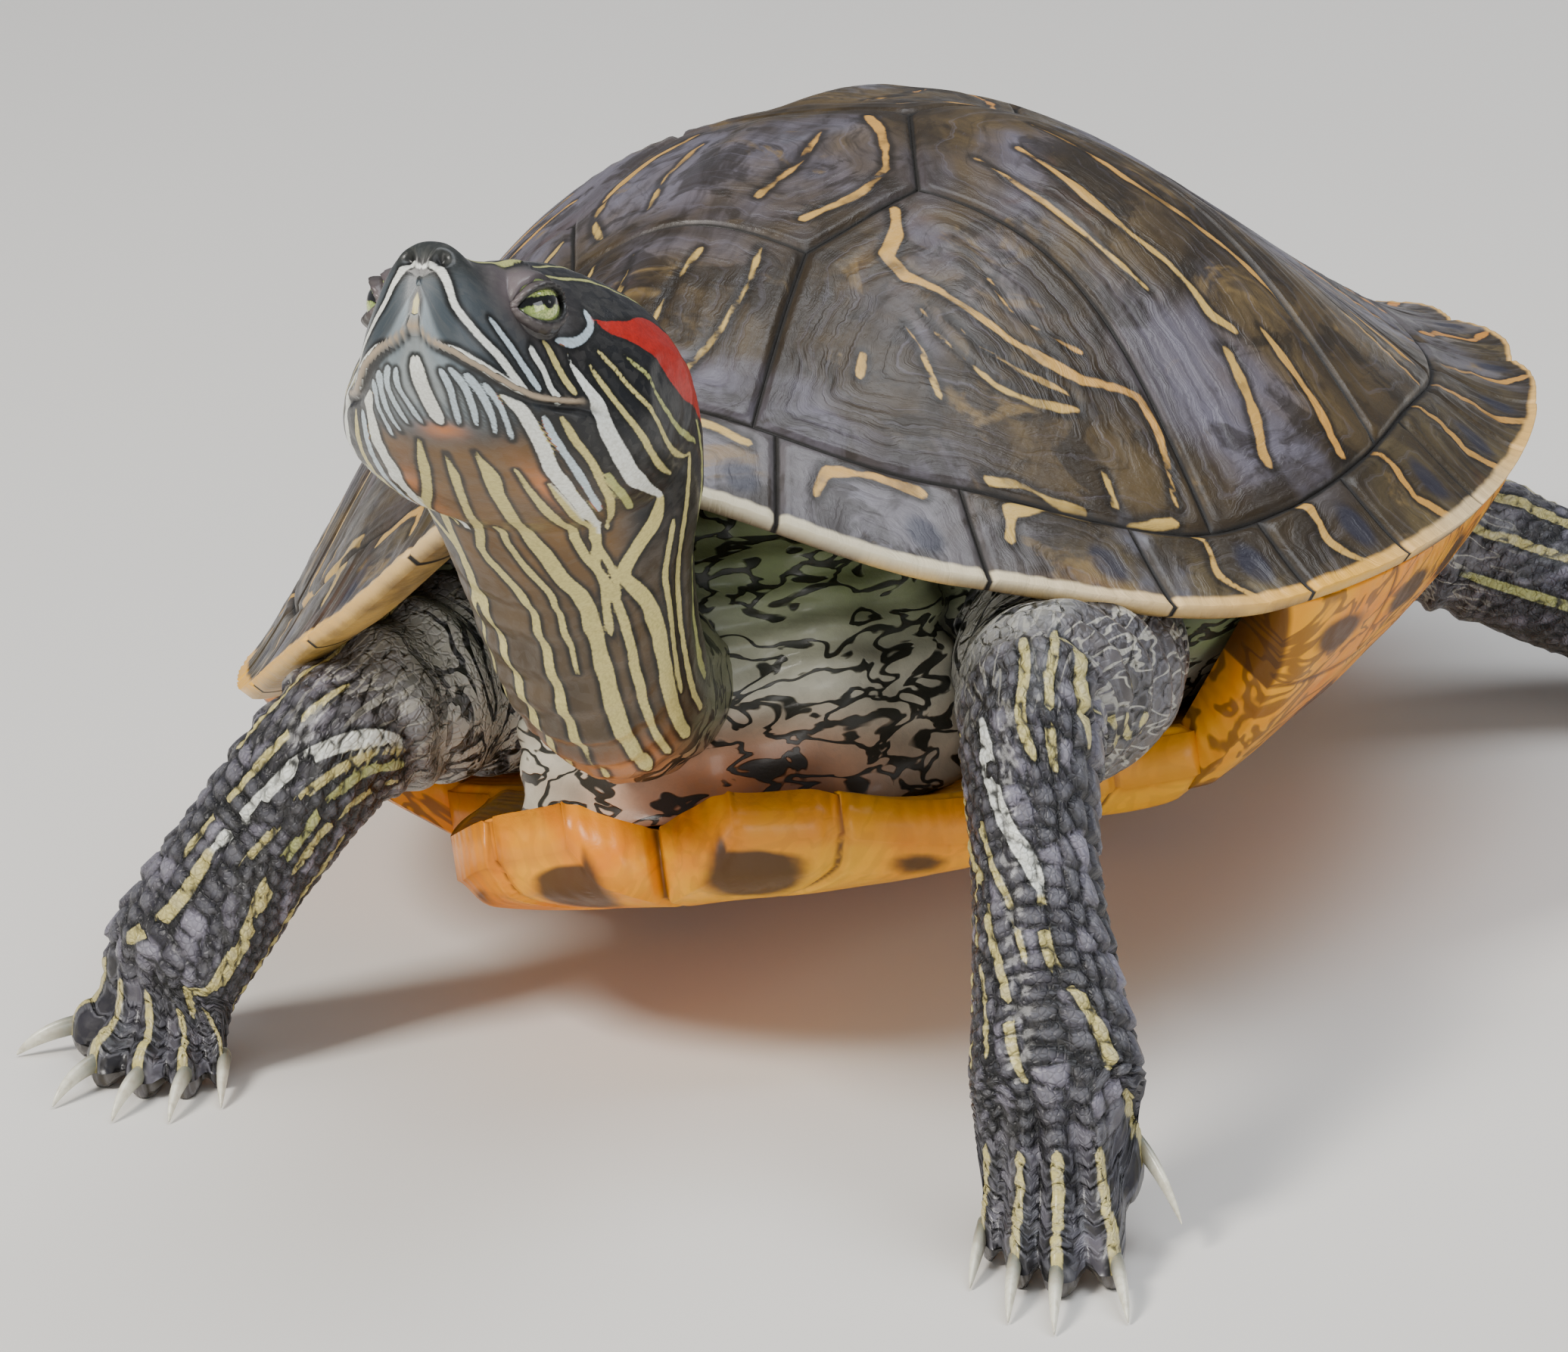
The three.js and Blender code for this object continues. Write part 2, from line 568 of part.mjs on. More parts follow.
const NECK_STATIONS = [
  station(-3, -54, 50, 16, 13), station(-2, -80, 52, 15.5, 14), station(-1, -101, 57, 14.5, 14),
  station(-0.5, -114.5, 68, 13.8, 13), station(0.5, -120.5, 82, 15, 13), station(1.5, -125, 99, 17.5, 15),
];
const TAIL_STATIONS = [
  station(0, 66, 23, 10, 8.5), station(0, 86, 19, 8, 7), station(2, 104, 12, 5.5, 5),
  station(8, 120, 6.5, 3.6, 3.4), station(18, 130, 3, 2.2, 2), station(26, 133, 1.4, 1, 0.9),
];

function tube(stations, sides, steps, levels) {
  const rings = limbRings(stations, sides, steps, levels);
  return limbLength(rings, 0, rings.rings.length - 1, false, false);
}

// ---------------------------------------------------------------- head
// Sections from the snout back: distance, half width, height of the crown and of the throat.
const HEAD_SECTIONS = [
  [0.2, 3.4, 0.6, -10.4], [2, 5.9, 2.1, -14.3], [5, 8, 2.4, -16.2], [10, 10.6, 3.2, -17.8],
  [15, 12.8, 4.8, -18.9], [21, 16, 6.2, -20.5], [28, 19.2, 8.2, -22], [35, 20.4, 8.6, -22.6],
  [42, 19.8, 7.2, -22], [48, 17.6, 4.6, -20],
];
const HEAD_SIDES = 14;
const EYE_AT = [13.2, 7.8, -2.6];

const headPlace = new THREE.Matrix4()
  .makeRotationX(-HEAD_PITCH)
  .setPosition(...HEAD_TIP);
const inHead = (back, left, up) => vec(left, back, up).multiplyScalar(HEAD_SCALE).applyMatrix4(headPlace);

// grow is how far the head is swollen, to make a cutter for the neck.
function head(grow) {
  const rings = HEAD_SECTIONS.map(([back, half, crown, throat]) => {
    const ring = [];
    for (let n = 0; n < HEAD_SIDES; n += 1) {
      const angle = (2 * Math.PI * n) / HEAD_SIDES;
      const side = Math.sign(Math.cos(angle)) * Math.abs(Math.cos(angle)) ** 0.9;
      const middle = (crown + throat) / 2;
      const high = (crown - throat) / 2 + grow;
      ring.push(inHead(back, (half + grow) * side, middle + high * Math.sin(angle)));
    }
    return ring;
  });
  return ringBody(rings, inHead(0, 0, -3.6), inHead(48 + grow, 0, -7));
}

function eyeball(side, radius) {
  const rings = 6;
  const sides = 10;
  const centre = inHead(EYE_AT[0], side * EYE_AT[1], EYE_AT[2]);
  const ringPoints = [];
  for (let r = 1; r < rings; r += 1) {
    const polar = (Math.PI * r) / rings;
    ringPoints.push(Array.from({ length: sides }, (_, k) => {
      const turn = (2 * Math.PI * k) / sides;
      return vec(Math.sin(polar) * Math.cos(turn), Math.sin(polar) * Math.sin(turn), Math.cos(polar))
        .multiplyScalar(radius).add(centre);
    }));
  }
  return ringBody(ringPoints, centre.clone().add(vec(0, 0, radius)), centre.clone().add(vec(0, 0, -radius)));
}

// ---------------------------------------------------------------- materials and assembly
const paint = (color, roughness) => new THREE.MeshStandardMaterial({ color, roughness, metalness: 0 });
const SCUTE = paint(0x5a4c33, 0.45);
const MARGIN = paint(0x6e5a35, 0.45);
const BELLY = paint(0xd99a35, 0.5);
const SKIN = paint(0x3a3d38, 0.6);
const EYE = paint(0x9aa860, 0.15);

const shell = new THREE.Group();
const flesh = new THREE.Group();

function add(group, name, geometry, material) {
  const mesh = new THREE.Mesh(geometry, material);
  mesh.name = name;
  group.add(mesh);
}

add(shell, 'nuchal', marginal(-MARGINAL_SEAMS[0], MARGINAL_SEAMS[0]), MARGIN);
VERTEBRAL_ROWS.forEach((lines, i) => add(shell, `vertebral_${i + 1}`, vertebral(lines), SCUTE));
for (const [word, side] of [['left', 1], ['right', -1]]) {
  for (let i = 0; i < 4; i += 1) add(shell, `pleural_${word}_${i + 1}`, pleural(i, side), SCUTE);
  for (let i = 0; i < 12; i += 1) {
    const body = marginal(side * MARGINAL_SEAMS[i], side * MARGINAL_SEAMS[i + 1]);
    add(shell, `marginal_${word}_${i + 1}`, body, MARGIN);
  }
  add(shell, `bridge_${word}`, bridge(side), BELLY);
}
add(shell, 'plastron', plastron(), BELLY);
add(shell, 'trunk', trunk(0), SKIN);
shell.applyMatrix4(shellPlace);

for (const limb of Object.values(LIMBS)) {
  limbPieces(limb).forEach((body, i) => add(flesh, limb.names[i], body, SKIN));
}
const sideways = [vec(1, 0, 0), vec(1, 0, 0)];
const headSolid = head(0);
const sockets = [1, -1].map((side) => eyeball(side, EYE_RADIUS + GAP));
add(flesh, 'neck', cut(cut(tube(NECK_STATIONS, 16, 2, sideways), trunkCutter), head(GAP)), SKIN);
add(flesh, 'head', sockets.reduce((body, socket) => cut(body, socket), headSolid), SKIN);
add(flesh, 'eye_left', eyeball(1, EYE_RADIUS), EYE);
add(flesh, 'eye_right', eyeball(-1, EYE_RADIUS), EYE);
add(flesh, 'tail', cut(tube(TAIL_STATIONS, 10, 2, sideways), trunkCutter), SKIN);

const turtle = new THREE.Group();
turtle.add(shell, flesh);
turtle.position.set(CENTRE_X, CENTRE_Y, 0);

export default turtle;
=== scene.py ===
"""A life-size red-eared slider turtle, shown as a still museum model.

Shapes are worked out in millimetres and turned into metres when each mesh is made. The shell has
its own frame (x to the left, y to the rear, z up from the plastron). Everything else has the whole
model's axes: the turtle faces -Y, its left side is +X, and the floor is at z = 0. CENTRE is added last.
"""

import bpy
import numpy as np
from mathutils import Matrix
from mathutils.kdtree import KDTree


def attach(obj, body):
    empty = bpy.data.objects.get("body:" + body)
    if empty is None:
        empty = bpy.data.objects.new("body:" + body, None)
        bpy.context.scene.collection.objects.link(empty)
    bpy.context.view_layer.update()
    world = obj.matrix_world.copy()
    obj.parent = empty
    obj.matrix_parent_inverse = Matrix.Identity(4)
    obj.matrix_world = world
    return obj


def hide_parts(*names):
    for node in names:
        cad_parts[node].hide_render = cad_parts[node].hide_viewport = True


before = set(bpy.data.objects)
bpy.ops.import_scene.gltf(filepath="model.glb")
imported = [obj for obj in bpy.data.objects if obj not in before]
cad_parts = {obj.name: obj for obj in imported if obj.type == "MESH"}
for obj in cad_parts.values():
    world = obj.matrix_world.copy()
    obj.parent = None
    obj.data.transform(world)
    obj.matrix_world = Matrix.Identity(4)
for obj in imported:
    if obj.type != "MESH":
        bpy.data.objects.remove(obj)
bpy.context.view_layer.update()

MM = 0.001
TAU = 2 * np.pi
SIDES = (("left", 1), ("right", -1))
CENTRE = np.array([-1.0, 18.6, 0.0])  # brings the middle of the finished shapes over the model's origin
FAR = 9.0  # a distance in mm at which a line or a scale's edge no longer shows
SKIN_FLOOR, CLAW_FLOOR = 0.02, 0.03  # how far above the floor a foot, tail or claw stays, in mm
# large odd numbers that turn a cell of space into a random number
HASH, SEED_HASH, SCRAMBLE = np.array([374761393, 668265263, 2147483647]), 97, 1274126177


# ------------------------------------------------------------------ numbers shared with the CAD
SHELL_CENTRE_Y = -16.4
SHELL_FRONT, SHELL_REAR, SHELL_HALF_WIDTH, SHELL_HEIGHT = 98.6, 122.7, 89.5, 94.3
OUTLINE_POWER_FRONT, OUTLINE_POWER_REAR = 1.9, 2.3
PLATE = 3.2
FRONT_UP, LEFT_UP, SHELL_LIFT = np.radians(8.2), np.radians(6.9), 12.7
VERTEBRAL_CORNERS = [(17.5, -64), (26, -42), (17.5, -20), (26, 1), (17, 22), (23, 42), (12, 61)]
MARGINAL_SEAMS = [3.2, 16, 32, 48, 63, 77, 94, 110, 123.5, 136.5, 149, 163.5, 180]
PLEURAL_LANDINGS = [14, 57, 86, 117, 163.5]
PLEURAL_BOWS = [0, 9, 4, -2, 0]
PLASTRON_Y = [-105, -101, -92, -78, -52, -46, 34, 40, 72, 88, 97]
PLASTRON_HALF = [12, 24, 34, 41, 47, 56, 48, 44, 41, 30, 15]
PLASTRON_THICKNESS, PLASTRON_SAG = 6.5, 4.0


# ------------------------------------------------------------------ number helpers
def lerp(a, b, u):
    return a + (b - a) * u


def smooth(low, high, x):
    u = np.clip((np.asarray(x, float) - low) / (high - low), 0, 1)
    return u * u * (3 - 2 * u)


def bump(x, middle, width):
    """A soft bell, 1 at the middle."""
    return np.exp(-(((np.asarray(x, float) - middle) / width) ** 2))


def unit(v):
    v = np.asarray(v, float)
    return v / np.maximum(np.linalg.norm(v, axis=-1, keepdims=True), 1e-9)


def away(points, place):
    """The distance of each point from a place."""
    return np.linalg.norm(points - np.asarray(place, float), axis=-1)


def through(keys, values, slopes):
    """The curve that has the given value and slope at each key."""
    def value(x):
        x = np.clip(np.asarray(x, float), keys[0], keys[-1])
        i = np.clip(np.searchsorted(keys, x, side="right") - 1, 0, len(keys) - 2)
        h = keys[i + 1] - keys[i]
        u = (x - keys[i]) / h
        if values.ndim > 1:
            h, u = h[..., None], u[..., None]
        return (values[i] * (2 * u**3 - 3 * u**2 + 1) + slopes[i] * h * (u**3 - 2 * u**2 + u)
                + values[i + 1] * (3 * u**2 - 2 * u**3) + slopes[i + 1] * h * (u**3 - u**2))
    return value


def curve(keys, values):
    """A smooth curve through its keys that never overshoots them."""
    k, v = np.asarray(keys, float), np.asarray(values, float)
    h = np.diff(k)
    slopes = np.diff(v) / h
    same = slopes[:-1] * slopes[1:] > 0
    before, after = np.where(same, slopes[:-1], 1), np.where(same, slopes[1:], 1)
    w1, w2 = 2 * h[1:] + h[:-1], h[1:] + 2 * h[:-1]
    inner = np.where(same, (w1 + w2) / np.where(same, w1 / before + w2 / after, 1), 0)
    return through(k, v, np.concatenate([[0], inner, [0]]))


def path(keys, points):
    """A smooth curve through points in space, one key for each."""
    k, points = np.asarray(keys, float), np.asarray(points, float)
    return through(k, points, np.gradient(points, k, axis=0))


def noise(points, size, seed=0):
    """Smooth noise from -1 to 1, with features about size mm across."""
    p = np.asarray(points, float) / size + seed * 17.31
    cell = np.floor(p).astype(np.int64)
    f = smooth(0, 1, p - cell)
    total = 0
    for corner in np.ndindex(2, 2, 2):
        mixed = ((cell + corner) * HASH).sum(-1) + seed * SEED_HASH
        mixed = (mixed ^ (mixed >> 13)) * SCRAMBLE
        mixed = (mixed ^ (mixed >> 16)) & 0xFFFFFF
        weight = np.prod(np.where(corner, f, 1 - f), axis=-1)
        total = total + weight * (mixed / 0x7FFFFF - 1)
    return total


def line_distance(points, corners, half=None):
    """Distance from each point to a line through its corners, less its half width at each corner."""
    corners = np.asarray(corners, float)
    half = np.zeros(len(corners)) if half is None else half
    best = np.full(points.shape[:-1], np.inf)
    for a, b, start, end in zip(corners[:-1], corners[1:], half[:-1], half[1:]):
        span = b - a
        u = np.clip(((points - a) @ span) / max(span @ span, 1e-9), 0, 1)
        best = np.minimum(best, away(points - a, u[..., None] * span) - lerp(start, end, u))
    return best


# ------------------------------------------------------------------ mesh helpers
def grid_faces(rows, columns, first=0, wrap=False):
    """The quads of a grid of points that are numbered from first, row by row."""
    i, j = np.meshgrid(np.arange(rows - 1), np.arange(columns if wrap else columns - 1), indexing="ij")
    k = (j + 1) % columns
    quads = np.stack([i * columns + j, (i + 1) * columns + j, (i + 1) * columns + k, i * columns + k], -1)
    return quads.reshape(-1, 4) + first


def make_mesh(name, points, faces, fields, material):
    """An object from points in mm in the whole model's frame. faces is a list of index arrays."""
    mesh = bpy.data.meshes.new(name)
    mesh.vertices.add(len(points))
    mesh.vertices.foreach_set("co", (np.asarray(points) * MM).astype(np.float32).ravel())
    corners = np.concatenate([f.ravel() for f in faces]).astype(np.int32)
    sizes = np.concatenate([np.full(len(f), f.shape[1]) for f in faces])
    starts = np.concatenate([[0], np.cumsum(sizes)[:-1]]).astype(np.int32)
    mesh.loops.add(len(corners))
    mesh.loops.foreach_set("vertex_index", corners)
    mesh.polygons.add(len(sizes))
    mesh.polygons.foreach_set("loop_start", starts)
    mesh.polygons.foreach_set("use_smooth", np.ones(len(sizes), bool))
    for key, values in fields.items():
        kind, slot = ("FLOAT", "value") if np.ndim(values) == 1 else ("FLOAT_VECTOR", "vector")
        attribute = mesh.attributes.new(key, kind, "POINT")
        attribute.data.foreach_set(slot, np.asarray(values, np.float32).ravel())
    mesh.update()
    mesh.validate()
    mesh.materials.append(material)
    piece = bpy.data.objects.new(name, mesh)
    bpy.context.scene.collection.objects.link(piece)
    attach(piece, "root")
    return piece


def inside_out(points, faces):
    """Whether a closed body's faces point into it."""
    a, b, c = points[faces[:, 0]], points[faces[:, 1]], points[faces[:, 2]]
    middle = points.mean(0)
    return np.einsum("ij,ij->i", a - middle, np.cross(b - middle, c - middle)).sum() <= 0


def plate(name, node, top, bottom, fields, material, below=()):
    """A closed plate of the shell from two grids of points, in place of a CAD node.

    fields are given for the top sheet, and those named in below show on the bottom sheet alone."""
    rows, columns = top.shape[:2]
    count = rows * columns
    number = np.arange(count).reshape(rows, columns)
    ring = np.concatenate([number[0], number[1:, -1], number[-1, -2::-1], number[-2:0:-1, 0]])
    after = np.roll(ring, -1)
    side = np.stack([ring, after, after + count, ring + count], -1)
    faces = np.concatenate([grid_faces(rows, columns), grid_faces(rows, columns, count)[:, ::-1], side])
    points = np.concatenate([top.reshape(-1, 3), bottom.reshape(-1, 3)])
    if inside_out(points, faces):
        faces = faces[:, ::-1]
    both = {key: np.concatenate([np.ravel(v) * (key not in below), np.ravel(v)]) for key, v in fields.items()}
    both["under"] = np.repeat([0.0, 1.0], count)
    piece = make_mesh(name, shell_to_model(points), [faces], both, material)
    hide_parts(node)


# ------------------------------------------------------------------ shell surface
rim_height = curve([0, 30, 60, 90, 130, 160, 180], [59.5, 39.5, 27, 29, 37.5, 45, 42])
dome_fullness = curve([0, 60, 95, 140, 180], [2.05, 2.35, 2.5, 2.35, 2.9])
dome_flare = curve([0, 60, 95, 140, 180], [1.15, 1.3, 1.2, 2.0, 1.95])
marginal_ring = curve([0, 30, 60, 95, 140, 180], [0.85, 0.865, 0.9, 0.885, 0.84, 0.83])
pocket_wall = curve([0, 60, 95, 140, 180], [0.69, 0.75, 0.79, 0.75, 0.74])
belly_edge = curve([0, 60, 95, 140, 180], [0.62, 0.46, 0.46, 0.48, 0.66])


def outline_radius(bearing):
    """The shell's radius in plan at a bearing in degrees from straight ahead."""
    angle = np.radians(bearing)
    front = np.cos(angle) > 0
    power = np.where(front, OUTLINE_POWER_FRONT, OUTLINE_POWER_REAR)
    length = np.where(front, SHELL_FRONT, SHELL_REAR)
    across = (np.abs(np.sin(angle)) / SHELL_HALF_WIDTH) ** power
    return (across + (np.abs(np.cos(angle)) / length) ** power) ** (-1 / power)


def plan_at(bearing, fraction):
    """The place in plan at a bearing, and at a fraction of the way out to the outline."""
    angle = np.radians(bearing)
    radius = fraction * outline_radius(bearing)
    return np.stack([radius * np.sin(angle), SHELL_CENTRE_Y - radius * np.cos(angle)], -1)


def bearing_of(plan):
    return np.degrees(np.arctan2(plan[..., 0], SHELL_CENTRE_Y - plan[..., 1]))


def dome_height(plan):
    bearing = bearing_of(plan)
    out = np.hypot(plan[..., 0], plan[..., 1] - SHELL_CENTRE_Y)
    fraction = np.minimum(1, out / outline_radius(bearing))
    turn = np.abs(bearing)
    rise = np.maximum(1 - fraction ** dome_fullness(turn), 0) ** dome_flare(turn)
    rim = rim_height(turn)
    return rim + (SHELL_HEIGHT - rim) * rise


def dome_normal(plan):
    """The carapace's normal, taken a little way in so that it is steady at the rim."""
    inner = plan * 0.97 + np.array([0, SHELL_CENTRE_Y * 0.03])
    step = 1.5
    slope_x = (dome_height(inner + (step, 0)) - dome_height(inner - (step, 0))) / (2 * step)
    slope_y = (dome_height(inner + (0, step)) - dome_height(inner - (0, step))) / (2 * step)
    return unit(np.stack([-slope_x, -slope_y, np.ones_like(slope_x)], -1))


def over_dome(plan, height):
    """Points a given height above the carapace's outer surface."""
    base = np.concatenate([plan, dome_height(plan)[..., None]], -1)
    return base + dome_normal(plan) * np.broadcast_to(height, plan.shape[:-1])[..., None]


def turn_matrix():
    """The shell's turn in the whole model: its front and its left side are raised."""
    ca, sa = np.cos(-FRONT_UP), np.sin(-FRONT_UP)
    cb, sb = np.cos(-LEFT_UP), np.sin(-LEFT_UP)
    about_x = np.array([[1, 0, 0], [0, ca, -sa], [0, sa, ca]])
    about_y = np.array([[cb, 0, sb], [0, 1, 0], [-sb, 0, cb]])
    return about_x @ about_y


SHELL_TURN = turn_matrix()


def shell_turned(points):
    """Points of the shell's frame, placed in space."""
    return points @ SHELL_TURN.T + np.array([0, 0, SHELL_LIFT])


def shell_to_model(points):
    return shell_turned(points) + CENTRE


# ------------------------------------------------------------------ shader helpers
class Shader:
    """Builds one procedural material. Every method that makes a value returns its socket."""

    def __init__(self, name):
        self.material = bpy.data.materials.new(name)
        self.material.use_nodes = True
        self.tree = self.material.node_tree
        self.surface = self.tree.nodes["Principled BSDF"]
        self.place = self.node("ShaderNodeTexCoord").outputs["Object"]

    def node(self, kind, **settings):
        made = self.tree.nodes.new(kind)
        for key, value in settings.items():
            setattr(made, key, value)
        return made

    def put(self, socket, value):
        if isinstance(value, bpy.types.NodeSocket):
            self.tree.links.new(value, socket)
        elif isinstance(value, tuple) and len(value) == 3 and socket.type == "RGBA":
            socket.default_value = (*value, 1)
        else:
            socket.default_value = value

    def field(self, name, vector=False):
        made = self.node("ShaderNodeAttribute", attribute_name=name)
        return made.outputs["Vector" if vector else "Fac"]

    def math(self, operation, a, b=0.0, c=0.0):
        made = self.node("ShaderNodeMath", operation=operation)
        for socket, value in zip(made.inputs, (a, b, c)):
            self.put(socket, value)
        return made.outputs[0]

    def step(self, value, low, high, start=0.0, end=1.0):
        """A value that turns smoothly from start to end as another passes from low to high."""
        made = self.node("ShaderNodeMapRange", interpolation_type="SMOOTHSTEP")
        numbers = {"Value": value, "From Min": low, "From Max": high, "To Min": start, "To Max": end}
        for key, number in numbers.items():
            self.put(made.inputs[key], number)
        return made.outputs[0]

    def mix(self, factor, a, b, blend="MIX"):
        made = self.node("ShaderNodeMix", data_type="RGBA", blend_type=blend)
        self.put(made.inputs[0], factor)
        self.put(made.inputs[6], a)
        self.put(made.inputs[7], b)
        return made.outputs[2]

    def stretch(self, vector, scale):
        made = self.node("ShaderNodeMapping")
        self.put(made.inputs["Vector"], vector)
        made.inputs["Scale"].default_value = scale
        return made.outputs[0]

    def over(self, color, shade, value, low, high, share=1.0):
        """Lays a shade over a colour as a value passes from low to high."""
        return self.mix(self.step(value, low, high, 0.0, share), color, shade)

    def times(self, a, b):
        return self.math("MULTIPLY", a, b)

    def fray(self, value, noise, size, middle=0.5):
        """A value made uneven by a noise, so that an edge drawn at it is ragged."""
        return self.math("MULTIPLY_ADD", noise, size, self.math("ADD", value, -size * middle))

    def veins(self, noise, wide, thin):
        """Lines where a noise passes its middle value."""
        return self.step(self.math("ABSOLUTE", self.math("SUBTRACT", noise, 0.5)), wide, thin)

    def noise(self, scale, detail=3.0, rough=0.55, vector=None, warp=0.0):
        made = self.node("ShaderNodeTexNoise")
        self.put(made.inputs["Vector"], vector or self.place)
        numbers = {"Scale": scale, "Detail": detail, "Roughness": rough, "Distortion": warp}
        for key, number in numbers.items():
            made.inputs[key].default_value = number
        return made.outputs["Fac"]

    def cells(self, scale, feature="DISTANCE_TO_EDGE", vector=None):
        made = self.node("ShaderNodeTexVoronoi", feature=feature)
        self.put(made.inputs["Vector"], vector or self.place)
        made.inputs["Scale"].default_value = scale
        return made.outputs["Distance" if feature != "F1" else "Color"]

    def bump(self, height, distance, normal=None, strength=1.0):
        made = self.node("ShaderNodeBump")
        made.inputs["Distance"].default_value = distance
        made.inputs["Strength"].default_value = strength
        self.put(made.inputs["Height"], height)
        if normal is not None:
            self.put(made.inputs["Normal"], normal)
        return made.outputs[0]

    def finish(self, color, rough, normal=None, **uniform):
        self.put(self.surface.inputs["Base Color"], color)
        self.put(self.surface.inputs["Roughness"], rough)
        if normal is not None:
            self.put(self.surface.inputs["Normal"], normal)
        for key, value in uniform.items():
            self.surface.inputs[key.replace("_", " ")].default_value = value
        return self.material


def dim(color, share):
    """A colour made darker or brighter by one factor."""
    return tuple(share * c for c in color)


def scute_material(name, dark, olive, painted_sheen):
    """Keratin scutes: brown-olive with growth rings, fine yellow lines, dark seams, and a painted blue-grey
    sheen that stands for the sky's reflection.
    """
    s = Shader(name)
    ring = s.field("ring")
    cloud = s.noise(38, 5, 0.6, warp=0.6)
    streak = s.noise(55, 4, 0.6, s.stretch(s.place, (2.2, 0.5, 1.0)), 1.0)
    color = s.over(dark, olive, cloud, 0.36, 0.64)
    # clouds of other shades: each one's noise, the values it starts and ends at, its strength and its shade;
    # the first two (the sheen and a blue-grey) are a painted reflection of the sky, the others are darker and
    # rust tones
    for scale, rough, warp, low, high, share, shade in (
            (17, 0.55, 0.4, 0.46, 0.58, 0.9, painted_sheen),
            (31, 0.6, 0.5, 0.6, 0.72, 0.7, (0.20, 0.21, 0.27)),
            (85, 0.65, 0.8, 0.5, 0.6, 0.7, dim(dark, 0.45)),
            (62, 0.6, 0.9, 0.58, 0.68, 0.6, (0.26, 0.17, 0.06)),
            (24, 0.6, 0.8, 0.58, 0.7, 0.55, (0.13, 0.045, 0.018))):
        color = s.over(color, shade, s.noise(scale, 4, rough, warp=warp), low, high, share)
    color = s.over(color, dim(dark, 0.4), streak, 0.5, 0.66, 0.55)
    # growth lines follow the scute's edge in uneven, broken bands
    spacing = s.node("ShaderNodeCombineXYZ")
    s.put(spacing.inputs[0], s.math("MULTIPLY_ADD", s.noise(60, 4), 9.0, s.times(ring, 0.8)))
    s.put(spacing.inputs[1], s.times(cloud, 2.0))
    rings = s.noise(0.95, 3, 0.6, vector=spacing.outputs[0])
    color = s.over(color, dim(dark, 0.45), rings, 0.52, 0.66, 0.3)
    # the lighter growth bands are tinted with the painted sheen's colour
    color = s.over(color, dim(painted_sheen, 1.3), rings, 0.46, 0.34, 0.22)
    color = s.mix(s.times(s.step(ring, 8, 1.2), 0.45), color, dim(dark, 0.7))
    # yellow lines with a dark border, frayed and broken here and there
    frayed = s.fray(s.field("line"), s.noise(380, 3), 0.6, 0.25)
    color = s.over(color, dim(dark, 0.3), frayed, 1.3, 0.35, 0.75)
    drawn = s.times(s.step(frayed, 0.2, -0.12), s.step(s.noise(130, 3), 0.3, 0.5, 0.35, 1))
    color = s.mix(drawn, color, s.mix(s.field("warm"), (0.54, 0.36, 0.095), (0.58, 0.23, 0.03)))
    color = s.over(color, (0.020, 0.022, 0.040), s.field("blotch"), 0.35, 0.8, 0.75)
    # the pale lip of the rim, the underside, and the seams
    lip = s.mix(s.field("gold"), (0.74, 0.66, 0.46), (0.80, 0.42, 0.05))
    color = s.over(color, lip, s.fray(s.field("rim"), s.noise(140, 3), 1.4), 2.4, 1.5)
    belly = s.over((0.6, 0.38, 0.1), (0.1, 0.06, 0.03), cloud, 0.4, 0.6)
    color = s.mix(s.times(s.field("under"), 0.9), color, belly)
    color = s.over(color, (0.010, 0.008, 0.006), s.fray(ring, s.noise(160, 3), 0.5), 0.62, 0.22)
    height = s.math("MULTIPLY_ADD", rings, 1.6, s.times(s.noise(900, 4, 0.6), 0.5))
    height = s.math("ADD", height, s.times(streak, 1.2))
    worn = s.step(s.noise(240, 4), 0.3, 0.75, 0.30, 0.5)
    rough = s.math("ADD", worn, s.times(s.step(ring, 0.9, 0.2), 0.3))
    return s.finish(color, rough, s.bump(height, 0.00016), Coat_Weight=0.12, Coat_Roughness=0.25,
                    Specular_IOR_Level=0.35)


# ------------------------------------------------------------------ carapace scutes
EDGE_STEPS = np.array([0, 0.22, 0.45, 0.75, 1.15, 1.7])  # rows over a plate's rounded edge, in mm
EDGE_BAND = 2.3
SCUTE_STEP = 0.85
CORNER_ROUNDING = 1.4
NO_RIM = 50.0
RIM_SIDE = 3


def spread(length, step):
    """Fractions along a side of that length, closer together near both ends."""
    rows = max(int((length - 2 * EDGE_BAND) / step), 2)
    middle = np.linspace(EDGE_BAND, length - EDGE_BAND, rows)
    return np.concatenate([EDGE_STEPS, middle, length - EDGE_STEPS[::-1]]) / length


def travelled(points, axis):
    """Distances along one axis of a grid of points, from both of its ends."""
    gaps = np.linalg.norm(np.diff(points, axis=axis), axis=-1)
    start = np.insert(np.cumsum(gaps, axis=axis), 0, 0, axis=axis)
    return start, np.take(start, [-1], axis=axis) - start


def edge_distance(points, free):
    """Distance of each grid point from the grid's border, rounded in the corners, and from each side.

    A side whose number is in free has no seam, so it doesn't count in the first."""
    sides = [*travelled(points, 0), *travelled(points, 1)]
    kept = [d for k, d in enumerate(sides) if k not in free]
    soft = -CORNER_ROUNDING * np.log(sum(np.exp(-d / CORNER_ROUNDING) for d in kept))
    return np.minimum(np.min(kept, axis=0), np.maximum(soft, 0) + 0.5), sides


def ring_plan(bearing):
    """The place in plan where the marginal scutes begin."""
    return plan_at(bearing, marginal_ring(np.abs(bearing)))


